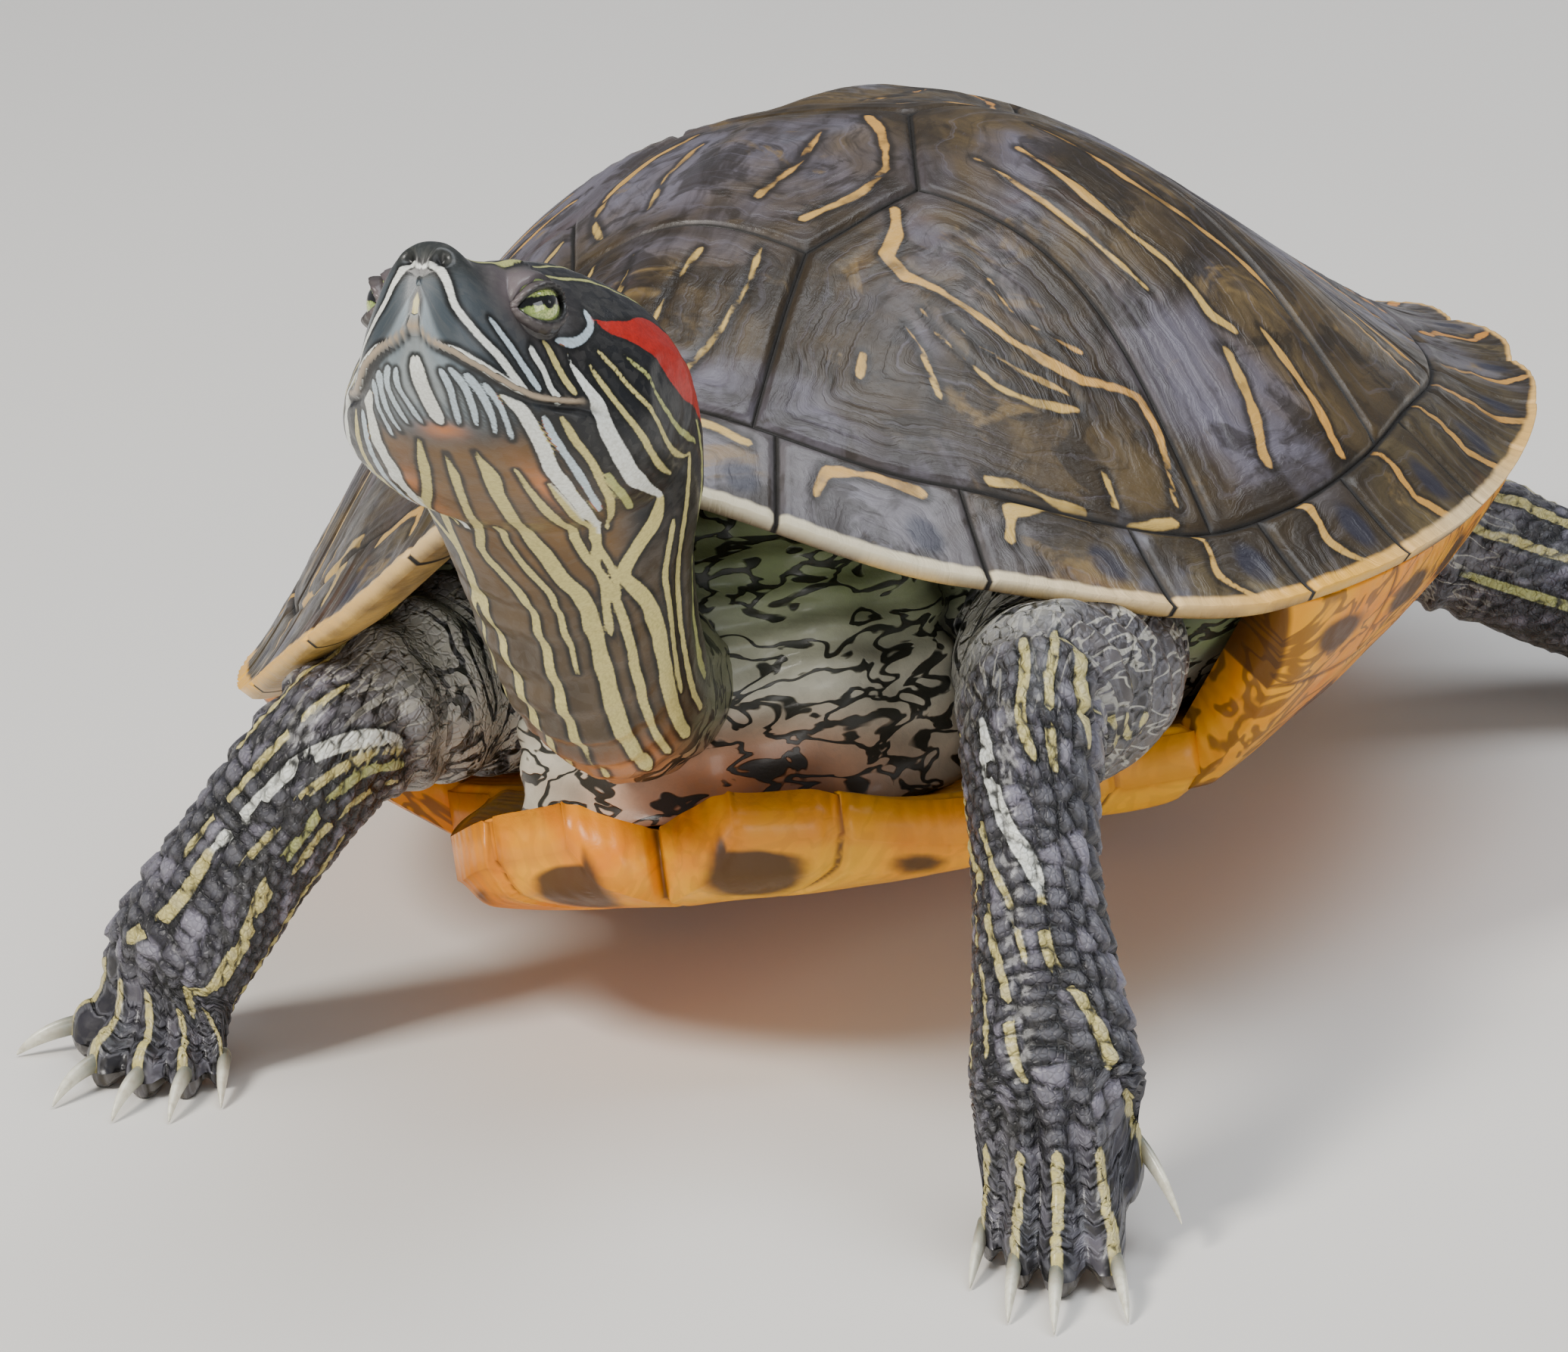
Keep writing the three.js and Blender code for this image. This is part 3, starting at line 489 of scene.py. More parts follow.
def scute(name, plan, size, lines, material, thickness=None, free=(), blotches=(), relief=None):
    """One keratin plate of the carapace, with a rounded edge, growth rings and coloured lines.

    plan places (s, t) in plan, size is its sides in mm, and lines holds (half width, points) in plan
    millimetres, on the left side of the shell."""
    s, t = np.meshgrid(spread(size[0], SCUTE_STEP), spread(size[1], SCUTE_STEP), indexing="ij")
    flat = plan(s, t)
    base = over_dome(flat, 0)
    edge, sides = edge_distance(base, free)
    mirrored = np.stack([np.abs(flat[..., 0]), flat[..., 1]], -1)
    rough, shift = noise(base, 7, 3), noise(base, 3.5, 5)
    line = np.full(s.shape, FAR)
    for half, corners in lines:
        line = np.minimum(line, line_distance(mirrored, corners) - half * (1 + 0.45 * rough) + 0.3 * shift)
    spots = sum((bump(away(mirrored, at), 0, across) for at, across in blotches), np.zeros(s.shape))
    rings = np.sin(edge * 1.9 + 1.3 * noise(base, 16, 8)) * smooth(0.5, 3, edge) * (1 - smooth(9, 24, edge))
    height = -0.75 * (1 - smooth(0, 1.3, edge))
    height = height + 0.08 * rings + 0.1 * rough * smooth(1, 4, edge) - 0.12 * bump(line, 0, 0.8)
    if relief is not None:
        height += relief(flat, edge)
    depth = PLATE if thickness is None else thickness(t)
    bearing = bearing_of(mirrored)
    rim = sides[RIM_SIDE] + 1.3 * smooth(100, 135, bearing) if free else np.full(s.shape, NO_RIM)
    warm = 0.35 + 0.5 * noise(base, 22, 11) + 0.006 * (flat[..., 1] + 20)
    gold = bump(bearing, 66, 22) + 0.75 * (flat[..., 0] < 0) * bump(bearing, 30, 26)
    gold += 0.8 * smooth(85, 115, bearing)
    fields = {"ring": edge, "line": line, "rim": rim, "warm": np.clip(warm, 0, 1), "blotch": spots,
              "gold": np.clip(gold, 0, 1)}
    plate(name, name, over_dome(flat, height), over_dome(flat, -depth), fields, material)


def vertebral_line(line, s):
    """A cross line of the vertebral row, from the right edge at s = 0 to the left at s = 1.

    It joins the two corners at (half width, y), or it follows the marginal scutes to a bearing."""
    if np.ndim(line):
        half, y = line
        return np.stack([(2 * s - 1) * half, np.full_like(s, y)], -1)
    rear = line > 90
    turn = (2 * s - 1) * (180 - line if rear else line)
    return ring_plan(180 - turn if rear else turn)


def vertebral_plan(lines):
    """A vertebral scute, from its front line at t = 0 to its rear line at t = 1."""
    def plan(s, t):
        spans = len(lines) - 1
        i = np.minimum((t * spans).astype(int), spans - 1)
        drawn = np.stack([vertebral_line(line, s) for line in lines])
        row, column = np.indices(s.shape)
        return lerp(drawn[i, row, column], drawn[i + 1, row, column], (t * spans - i)[..., None])
    return plan


def pleural_plan(i, side):
    """A pleural scute, from two sides of the vertebral row at s = 0 to the marginal ring at s = 1."""
    ends = [ring_plan(PLEURAL_LANDINGS[0]), *VERTEBRAL_CORNERS[1::2], ring_plan(PLEURAL_LANDINGS[-1])]
    start, middle, end = (np.asarray(p, float) for p in (ends[i], VERTEBRAL_CORNERS[2 * i], ends[i + 1]))

    def plan(s, t):
        first = lerp(start, middle, (2 * t)[..., None])
        second = lerp(middle, end, (2 * t - 1)[..., None])
        inner = np.where((t < 0.5)[..., None], first, second)
        outer = ring_plan(lerp(PLEURAL_LANDINGS[i], PLEURAL_LANDINGS[i + 1], t))
        drawn = lerp(inner, outer, s[..., None])
        bow = lerp(PLEURAL_BOWS[i], PLEURAL_BOWS[i + 1], t) * np.sin(np.pi * s)
        return np.stack([side * drawn[..., 0], drawn[..., 1] + bow], -1)
    return plan


def marginal_plan(first, last):
    """A marginal scute between two bearings, with its rim at t = 1, notched at the seams to the rear."""
    def plan(s, t):
        bearing = lerp(first, last, s)
        turn = np.abs(bearing)
        notch = 0.022 * smooth(118, 150, turn) * (bump(s, 1, 0.22) + bump(s, 0, 0.22)) * t
        return plan_at(bearing, lerp(marginal_ring(turn), 1, t) - notch)
    return plan


def marginal_depth(t):
    return lerp(PLATE, 2.2, t) + 3.6 * np.sin(np.pi * t)


def keel(flat, edge):
    """A low ridge down the middle of the back."""
    return 0.9 * bump(flat[..., 0], 0, 4.5) * smooth(2, 9, edge)


# Yellow lines on the scutes: (half width, [(x, y), ...]) in plan.
PLEURAL_LINES = [
    [(0.85, [(25, -49), (26.5, -53.5), (26.5, -58.5), (29.5, -60.5), (33.5, -59.5), (38.5, -59.5),
             (43, -59.5), (47, -58.5), (51, -57), (54.5, -53.5), (57, -52), (60, -54), (62, -57.5),
             (64, -62)]),
     (0.7, [(61, -71), (63, -67), (64.5, -64.5)]),
     (0.4, [(38.5, -52.5), (41.5, -55), (46, -54.5), (50, -53)]),
     (0.5, [(33, -64.5), (35.5, -66.5), (39.5, -67.5), (43.5, -68), (47.5, -66), (52, -61.5)]),
     (0.4, [(36, -63), (40, -64), (45, -63), (50.5, -60.5)]),
     (0.4, [(31.5, -68), (34.5, -70.5), (38, -75.5)]),
     (0.5, [(28.5, -76.5), (29, -80)]),
     (0.7, [(46, -82), (49, -79), (52.5, -77.5), (56, -75)]),
     (0.5, [(56.5, -67), (58.5, -70)])],
    [(0.8, [(34, -23), (39.5, -24.5), (45, -26.5), (50.5, -27.5), (55, -27.5), (58, -28.5), (61, -30),
            (63.5, -29)]),
     (0.9, [(64, -33.5), (68, -38), (71, -44)]),
     (0.7, [(66, -24), (73, -27), (77, -31)]),
     (0.6, [(32, -12), (46, -15), (60, -13), (74, -14)]),
     (0.5, [(30, -30), (42, -33), (54, -35)]),
     (0.5, [(50, -5), (62, -6), (76, -3)])],
    [(0.9, [(30, 20), (44, 19), (58, 20), (72, 18)]),
     (0.6, [(36, 12), (50, 9), (64, 9), (76, 8)]),
     (0.5, [(34, 30), (48, 29), (60, 30), (70, 31)]),
     (0.5, [(52, 24), (66, 26), (73, 25)])],
    [(0.8, [(22, 62), (34, 62), (46, 60), (58, 58)]),
     (0.6, [(28, 50), (42, 50), (56, 46), (64, 44)]),
     (0.5, [(18, 72), (30, 74), (42, 72)])],
]
VERTEBRAL_LINES = [
    [(0.5, [(9, -98), (12, -86), (13, -74), (12, -67)]), (0.4, [(3, -92), (4, -78), (5, -70)])],
    [(0.6, [(15, -58), (20, -48), (21, -40), (17, -30), (13, -24)]), (0.4, [(8, -56), (10, -44), (9, -32)])],
    [(0.6, [(14, -15), (20, -5), (21, 3), (17, 12), (12, 18)]), (0.4, [(7, -12), (9, 0), (8, 12)])],
    [(0.6, [(13, 26), (18, 36), (18, 44), (12, 54), (9, 58)]), (0.4, [(6, 28), (8, 40), (6, 52)])],
    [(0.6, [(9, 66), (14, 74), (18, 82)]), (0.4, [(4, 66), (6, 78)])],
]
# Each marginal scute carries a bar, or a hook near the head: (degrees from its middle, how far out).
MARGINAL_BAR = [(-2.5, 0.87), (0, 0.91), (-1, 0.95), (1.5, 0.99)]
MARGINAL_HOOK = [(-5, 0.93), (-4, 0.89), (0, 0.875), (4, 0.885)]
MARGINAL_SPOT, SPOT_SIZE = (3.5, 0.945), 3.2
NUCHAL_LINE = (0.6, [(0, -113), (0, -103)])

# Where each plate's ends lie among the cross lines of the vertebral row, and the plates' sizes in mm.
CROSS_LINES = [PLEURAL_LANDINGS[0], *VERTEBRAL_CORNERS, PLEURAL_LANDINGS[-1]]
VERTEBRAL_ENDS = [(0, 1), (1, 3), (3, 5), (5, 7), (7, 8)]
VERTEBRAL_SIZES = [(38, 38), (46, 46), (46, 46), (42, 42), (46, 42)]
PLEURAL_SIZES = [(66, 62), (66, 46), (66, 46), (48, 46)]
MARGINAL_SIZE, NUCHAL_SIZE = (27, 15), (11, 15)
# each material's third colour is a painted sheen, the sky's reflection on the scutes
SCUTE = scute_material("scute", (0.036, 0.024, 0.012), (0.110, 0.074, 0.030), (0.140, 0.130, 0.165))
MARGIN = scute_material("margin", (0.042, 0.029, 0.015), (0.135, 0.100, 0.042), (0.165, 0.155, 0.175))


def build_carapace():
    """The scutes of the back: five vertebral, four pleural a side, twelve marginal a side, one nuchal."""
    for k, (first, last) in enumerate(VERTEBRAL_ENDS):
        scute(f"vertebral_{k + 1}", vertebral_plan(CROSS_LINES[first:last + 1]), VERTEBRAL_SIZES[k],
              VERTEBRAL_LINES[k], SCUTE, relief=keel)
    for word, side in SIDES:
        for k, size in enumerate(PLEURAL_SIZES):
            scute(f"pleural_{word}_{k + 1}", pleural_plan(k, side), size, PLEURAL_LINES[k], SCUTE)
        for k, (first, last) in enumerate(zip(MARGINAL_SEAMS[:-1], MARGINAL_SEAMS[1:])):
            middle = (first + last) / 2
            mark = [plan_at(middle + turn, out) for turn, out in (MARGINAL_HOOK if k < 3 else MARGINAL_BAR)]
            spot = plan_at(middle + MARGINAL_SPOT[0], MARGINAL_SPOT[1])
            scute(f"marginal_{word}_{k + 1}", marginal_plan(side * first, side * last), MARGINAL_SIZE,
                  [(0.75, mark)], MARGIN, thickness=marginal_depth, free=(RIM_SIDE,),
                  blotches=[(spot, SPOT_SIZE)])
    scute("nuchal", marginal_plan(-MARGINAL_SEAMS[0], MARGINAL_SEAMS[0]), NUCHAL_SIZE, [NUCHAL_LINE], MARGIN,
          thickness=marginal_depth, free=(RIM_SIDE,))


# ------------------------------------------------------------------ skin: shared tools
STRIPE_TONES = (0.0, 0.25, 0.5, 0.75, 1.0)
WHITE, CREAM, GREENISH, RED, BLUE = STRIPE_TONES
BLACK = (0.006, 0.006, 0.006)
GOLDEN = 0.618034  # spreads the numbers of neighbouring scales evenly between 0 and 1


class Body:
    """Collects the lofted surfaces that make up one mesh, with their fields."""

    def __init__(self):
        self.points, self.faces, self.fields, self.count = [], [], [], 0

    def add(self, grid, fields, cap_start=False, cap_end=False):
        """Adds a grid of points whose rows are closed rings, with either end closed if wanted."""
        rows, columns = grid.shape[:2]
        points = grid.reshape(-1, 3)
        flat = {k: np.reshape(v, (rows * columns,) + np.shape(v)[2:]) for k, v in fields.items()}
        faces = [grid_faces(rows, columns, 0, True)]
        for wanted, row in ((cap_start, 0), (cap_end, rows - 1)):
            if wanted:
                ring = row * columns + np.arange(columns)
                points = np.concatenate([points, grid[row].mean(0)[None]])
                flat = {k: np.concatenate([v, v[ring].mean(0)[None]]) for k, v in flat.items()}
                heart = np.full(columns, len(points) - 1)
                after = np.roll(ring, -1)
                faces.append(np.stack([after, ring, heart] if row == 0 else [ring, after, heart], 1))
        way = -1 if inside_out(points, faces[0]) else 1
        self.points.append(points)
        self.faces += [face[:, ::way] + self.count for face in faces]
        self.fields.append(flat)
        self.count += len(points)

    def make(self, name, material):
        fields = {k: np.concatenate([f[k] for f in self.fields]) for k in self.fields[0]}
        return make_mesh(name, np.concatenate(self.points) + CENTRE, self.faces, fields, material)


def skin_fields(coat, tint, **given):
    """The fields that the skin's material reads, with a plain value for each one that isn't given.

    coat is the place that fine patterns follow and tint the base colour. line is the distance to a
    stripe's edge and tone the stripe's colour, cell the distance to a scale's edge and own that
    scale's number, the next field the painted shade in a nostril or the mouth's crease, and vein and pale
    the strength of two kinds of scrawl."""
    plain = {"line": FAR, "tone": 0, "cell": 2.0, "own": 0, "pit": 0, "vein": 0, "pale": 0}
    shape = coat.shape[:2]
    return {"coat": coat, "tint": tint,
            **{key: np.broadcast_to(given.get(key, value), shape) for key, value in plain.items()}}


def grid_normals(grid):
    """Outward normals of a grid of points whose rows are closed rings."""
    across = (np.roll(grid, -1, 1) - np.roll(grid, 1, 1)) / 2
    normal = unit(np.cross(across, np.gradient(grid, axis=0)))
    way = np.sign(np.sum(normal * (grid - grid.mean(1, keepdims=True)), -1).sum())
    return normal * (way or 1)


def raised(grid, height):
    """A grid of closed rings moved out along its normals."""
    return grid + grid_normals(grid) * height[..., None]


def scale_pattern(coat, centres):
    """For each point: the distance to its scale's edge, that scale's own number from 0 to 1, and how far
    the point lies beyond the scale's middle."""
    tree = KDTree(len(centres))
    for k, centre in enumerate(centres):
        tree.insert(centre, k)
    tree.balance()
    flat = coat.reshape(-1, 3)
    edge, own, lap = np.zeros((3, len(flat)))
    for k, point in enumerate(flat):
        (middle, near, a), (_, _, b) = tree.find_n(point, 2)
        edge[k] = (b - a) / 2
        own[k] = (near * GOLDEN) % 1
        lap[k] = point[2] - middle[2]
    return (field.reshape(coat.shape[:-1]) for field in (edge, own, lap))


def ring_coat(s, angle, radius):
    """Where a point would lie if its limb were a straight round bar."""
    s, angle = np.broadcast_arrays(s, angle)
    return np.stack([radius * np.cos(angle), radius * np.sin(angle), s], -1)


def stripe_field(points, stripes, surface):
    """Distance in mm to the edge of the nearest stripe, negative inside it, and its colour number.

    Each stripe is (half width or one for each mark, colour, [(s, turn), ...]), and surface places
    (s, turn) in space."""
    line, tone = np.full(points.shape[:-1], FAR), np.zeros(points.shape[:-1])
    wander = noise(points, 3.4, 21) * 0.2 + noise(points, 7, 22) * 0.3
    for half, color, corners in stripes:
        marks = np.array(corners, float)
        keys = np.linspace(0, 1, len(marks))
        fine = np.linspace(0, 1, 4 * len(marks) - 3)
        drawn = surface(*(curve(keys, row)(fine) for row in marks.T))
        taper = 0.35 + 0.65 * smooth(0, 0.14, fine) * smooth(1, 0.86, fine)
        halves = curve(keys, np.broadcast_to(half, len(marks)))(fine) * taper
        near = line_distance(points, drawn, halves) + wander * min(1, 0.8 * np.max(half))
        tone = np.where(near < line, color, tone)
        line = np.minimum(line, near)
    return line, tone


def toward(color, shade, amount):
    """A colour moved towards another one, by an amount for each point."""
    return lerp(color, np.asarray(shade, float), np.clip(amount, 0, 1)[..., None])


def speckled(color, amount):
    """A colour made lighter or darker by an amount for each point."""
    return color * (1 + amount)[..., None]


skin = Body()


# ------------------------------------------------------------------ skin: head and neck
HEAD_TIP = np.array([2, -161, 135.5])
HEAD_PITCH = np.radians(35.7)
HEAD_SCALE = 1.04
BACKWARD = np.array([0, np.cos(HEAD_PITCH), -np.sin(HEAD_PITCH)])
CROWNWARD = np.array([0, np.sin(HEAD_PITCH), np.cos(HEAD_PITCH)])
TO_LEFT = np.array([1, 0, 0])
# The head's rings, by how far back they lie in head units, and the neck's, by distance along the spine.
HEAD_KEYS = [-0.4, -0.3, 0, 0.6, 2, 5, 10, 15, 21, 28, 35, 42]
head_half = curve(HEAD_KEYS, [0.05, 1.3, 2.9, 4.2, 5.9, 8.0, 10.4, 12.6, 16.0, 19.2, 20.4, 19.9])
head_crown = curve(HEAD_KEYS, [-3.5, -1.9, 0.1, 1.3, 2.0, 1.6, 1.6, 3.2, 5.8, 8.2, 8.6, 7.2])
head_throat = curve(HEAD_KEYS, [-3.7, -6.2, -9.6, -12.2, -14.3, -16.2, -17.8, -18.9, -20.5, -22, -22.6, -22])
head_spread = curve([-0.4, 5, 15, 30, 42], [0, 0.26, 0.34, 0.14, 0])
mouth_level = curve([0, 1.5, 3.3, 6, 8.6, 11.7, 15.6, 19],
                    [-11.6, -12.1, -12.9, -13.6, -14.1, -14.3, -13.6, -12.8])
NECK_STARTS = 43.7
NECK_KEYS = [NECK_STARTS, 52, 68, 83, 101, 122, 148]
neck_path = path(NECK_KEYS, [(2, -130.1, 103.6), (1.8, -125.6, 95.8), (0.8, -120.8, 82), (-0.5, -114.5, 68),
                             (-3, -101, 57), (-6, -80, 52), (-8, -54, 50)])
neck_tilt = curve(NECK_KEYS, [35.7, 48, 63, 52, 27, 6, 0])
neck_half = curve(NECK_KEYS, [20.7, 19.2, 15.8, 13.8, 12, 11, 11])
neck_high = curve(NECK_KEYS, [15, 14.8, 13.4, 12.8, 12, 11, 11])
# The eye: its middle, the half length and half height of the gap between the lids, and its three axes.
EYE_AT, EYE_RADIUS = np.array([13.2, 7.8, -2.6]), 4.5
OPENING = (3.9, 2.2)
UPPER_LID = 0.72  # how far the upper lid stands off the eye's middle, as a share of the lower
EYE_AXIS = unit([-0.42, 0.9, 0.12])
EYE_SLANT = np.array([0.88, 0.42, 0.41])
EYE_LONG = unit(EYE_SLANT - EYE_AXIS * (EYE_AXIS @ EYE_SLANT))
EYE_UP = np.cross(EYE_LONG, EYE_AXIS)


def turned_with_head(p):
    """A direction given as back, left and up along the head, on the whole model's axes."""
    return p[..., :1] * BACKWARD + p[..., 1:2] * TO_LEFT + p[..., 2:] * CROWNWARD


def in_head(points):
    """Points given as back, left and up in head units, placed in space."""
    return HEAD_TIP + turned_with_head(np.asarray(points, float) * HEAD_SCALE)


def head_ring(s, angle):
    """A point of the plain head and neck surface. s runs back from the snout along the spine."""
    s, angle = np.broadcast_arrays(np.asarray(s, float), np.asarray(angle, float))
    b = s / HEAD_SCALE
    side, rise = np.cos(angle), np.sin(angle)
    middle, high = (head_crown(b) + head_throat(b)) / 2, (head_crown(b) - head_throat(b)) / 2
    roundness = 0.86 + 0.14 * smooth(35, 60, s)
    x = head_half(b) * np.sign(side) * np.abs(side) ** roundness * (1 - head_spread(b) * rise)
    z = middle + high * np.sign(rise) * np.abs(rise) ** roundness
    on_head = in_head(np.stack([b, x, z], -1))
    tilt = np.radians(neck_tilt(s))
    up = np.stack([np.zeros_like(tilt), np.sin(tilt), np.cos(tilt)], -1)
    on_neck = neck_path(s) + TO_LEFT * (neck_half(s) * side)[..., None]
    on_neck = on_neck + up * (neck_high(s) * rise)[..., None]
    return np.where((s < NECK_STARTS)[..., None], on_head, on_neck)


def left_side(s, turn):
    """The surface at a turn in degrees up from the left side: 90 is the crown, -90 the throat."""
    return head_ring(s, np.radians(turn))


def head_local(points):
    """Back, side and up in head units, with both sides folded on to the left."""
    p = (points - HEAD_TIP) / HEAD_SCALE
    return np.stack([p @ BACKWARD, np.abs(p[..., 0]), p @ CROWNWARD], -1)


# Stripes: (half width, colour, [(distance back, turn in degrees), ...]), drawn on both sides of the head.
HEAD_STRIPES = [
    # along the beak's edge and over the jaw
    ([0.3, 0.42, 0.5, 0.5, 0.5, 0.5, 0.4], WHITE,
     [(-0.33, 88), (-0.1, 32), (0.7, -2), (2.7, -11), (6.2, -17.5), (9, -26), (11.3, -31.5)]),
    (0.42, WHITE, [(11.3, -31.5), (8.0, -32.5), (4.0, -34), (2.0, -38), (0.9, -48)]),
    (0.4, BLUE, [(4.5, 3), (7.5, -5), (10, -14), (12.6, -24)]),
    (0.42, CREAM, [(-0.36, -90), (-0.2, -90), (0.0, -90)]),
    # the chin's fan
    ([0.6, 1.1, 1.2, 0.9], WHITE, [(0.9, -88), (4, -90), (8.0, -90), (12.2, -90)]),
    (0.45, BLUE, [(2.6, -67), (5.5, -73), (8.4, -78.5), (12.4, -83)]),
    (0.45, BLUE, [(2.8, -57), (5.4, -61), (8.6, -68), (13.0, -76)]),
    (0.5, BLUE, [(4.3, -50), (6.6, -54), (9.6, -60), (15.0, -71)]),
    (0.4, BLUE, [(6.6, -46), (9.8, -52), (13.2, -60), (16.4, -66)]),
    # the broad stripes of the jaw and the cheek, and the fine ones between them
    ([0.5, 0.8, 0.9, 0.95, 0.9, 0.8, 0.65, 0.6], WHITE,
     [(9.2, -45), (11.9, -45.5), (15.0, -51), (19.4, -58), (24.2, -63), (30.7, -64), (38, -64.5), (45, -64)]),
    ([0.3, 0.7, 0.9, 1.05, 1.05, 0.95, 0.7, 0.8], WHITE,
     [(16.4, 3), (18.4, -7), (20.4, -16), (23.3, -29), (27.2, -36), (32.7, -39), (38, -37.5), (45, -35)]),
    (0.42, WHITE, [(10.6, -1), (12.8, -9), (14.3, -20), (16.3, -27.5)]),
    (0.46, CREAM, [(13.4, 3), (15.0, -4), (16.4, -11), (17.6, -17)]),
    (0.46, CREAM, [(17.0, -34.5), (20.6, -43), (24.5, -46.5), (29.4, -51), (35.7, -54), (45, -60)]),
    (0.46, BLUE, [(15.4, -41), (18.5, -49), (23.5, -54), (30, -57.5), (37, -59.5)]),
    (0.46, GREENISH, [(28, -46), (32, -48), (37, -48), (42, -49)]),
    (0.42, CREAM, [(19.6, 1), (21.8, -8), (25, -17), (29, -23), (35, -27), (42, -25)]),
    (0.42, CREAM, [(21, 8), (23, 2), (26.5, -6), (31, -13), (36.5, -18), (44, -14)]),
    (0.38, GREENISH, [(25, 8), (28, 2), (32, -4), (38, -8), (45, -5)]),
    # round the back of the eye, and over the crown
    (0.55, BLUE, [(22.2, 31), (21.9, 23), (20.3, 15), (17.8, 8), (15.8, 5)]),
    (0.3, GREENISH, [(2.5, 78), (7, 62), (13, 60), (20, 58), (28, 54), (36, 50), (46, 44)]),
    (0.34, GREENISH, [(3, 90), (10, 90), (18, 90), (30, 90), (46, 90)]),
    (0.28, GREENISH, [(16, 76), (24, 72), (34, 70), (46, 70)]),
    # the red patch
    ([0.7, 1.3, 2.2, 3.6, 4.1, 3.0, 1.9, 0.9], RED,
     [(22.6, 26), (24.5, 21.5), (28, 21), (32, 22), (36, 17), (40, 14), (43.5, 13.5), (46.5, 12)]),
]
# The same, on the whole turn of the neck: -90 is the throat and 90 the nape.
NECK_STRIPES = [
    (0.75, CREAM, [(16, -101), (21.2, -102), (27.2, -105), (37.4, -117), (48, -128), (62, -128), (76, -120),
                   (92, -116), (112, -114)]),
    (0.65, CREAM, [(18.2, -92.5), (23.2, -93.5), (29.0, -95.5), (37.2, -100), (49.2, -113), (55.0, -107),
                   (63, -96), (78, -92), (110, -88)]),
    (1.05, CREAM, [(17.7, -84), (22.0, -84), (27.2, -86), (34.4, -88), (43.4, -90), (48, -86), (54.2, -81),
                   (62.0, -71), (76, -66), (92, -64), (112, -62)]),
    (0.5, CREAM, [(41, -97), (45, -100), (50.7, -96), (60, -85), (74, -79)]),
    (0.55, CREAM, [(22, -75), (30, -76), (40, -75), (50, -70), (58, -61), (72, -51), (90, -48), (112, -48)]),
    (0.46, CREAM, [(26, -68), (36, -69), (46, -66), (54, -60), (62, -55)]),
    (1.05, CREAM, [(45, -35), (49, -40), (52.7, -49), (57, -54), (62.0, -47), (68, -38), (80, -32), (96, -32),
                   (112, -34)]),
    (0.5, CREAM, [(45, -64), (52, -66), (60, -62), (70, -60)]),
    (0.5, CREAM, [(44, -12), (56, -20), (70, -16), (90, -14), (112, -14)]),
    (0.46, GREENISH, [(44, 4), (58, 0), (74, 4), (95, 6), (112, 6)]),
    (0.46, CREAM, [(52, -28), (62, -30), (72, -25), (86, -23)]),
    (0.46, GREENISH, [(46, 44), (62, 40), (84, 36), (112, 34)]),
    (0.46, GREENISH, [(46, 70), (66, 66), (90, 64), (112, 62)]),
    (0.46, GREENISH, [(46, 90), (66, 90), (90, 92), (112, 92)]),
    (0.46, GREENISH, [(46, 110), (66, 114), (90, 116), (112, 118)]),
    (0.46, GREENISH, [(46, 136), (62, 140), (84, 144), (112, 146)]),
    (0.5, CREAM, [(45, 215), (49, 221), (54, 232), (60, 232), (70, 222), (85, 216), (112, 214)]),
    (0.5, CREAM, [(44, 192), (56, 200), (70, 196), (90, 194), (112, 194)]),
    (0.46, GREENISH, [(44, 176), (58, 180), (74, 176), (112, 174)]),
]

SNOUT_ROWS = [-0.4, -0.36, -0.3, -0.2, -0.05, 0.12, 0.35, 0.65, 1, 1.4, 1.9, 2.4]  # in head units
HEAD_ENDS, HEAD_STEP, NECK_ENDS, NECK_STEP, HEAD_COLUMNS = 46, 0.46, 148, 0.85, 216
NECK_SEAM, EASINGS = (38, 56), 6  # the stretch where the two kinds of ring meet, and how often it is eased
COAT_RADIUS = 15
BROW, NOSTRIL, EAR_DRUM, JAW_MUSCLE = (13.2, 6.2, 0.6), (0.3, 2.1, -0.9), (33, 20, -7), (27, 18, -14)
LID_GAP = 0.92  # how much of the opening is free of the skin


def plain_head():
    """The head and neck before their relief, eased where the two kinds of ring meet."""
    head, neck = np.arange(2.9, HEAD_ENDS, HEAD_STEP), np.arange(HEAD_ENDS, NECK_ENDS, NECK_STEP)
    s = np.concatenate([np.array(SNOUT_ROWS) * HEAD_SCALE, head, neck])[:, None]
    angle = np.linspace(0, TAU, HEAD_COLUMNS, endpoint=False)[None, :]
    grid = head_ring(s, angle)
    seam = np.nonzero((s[:, 0] > NECK_SEAM[0]) & (s[:, 0] < NECK_SEAM[1]))[0]
    for _ in range(EASINGS):
        grid[seam] = 0.5 * grid[seam] + 0.25 * (grid[seam - 1] + grid[seam + 1])
    return grid, *np.broadcast_arrays(s, angle)


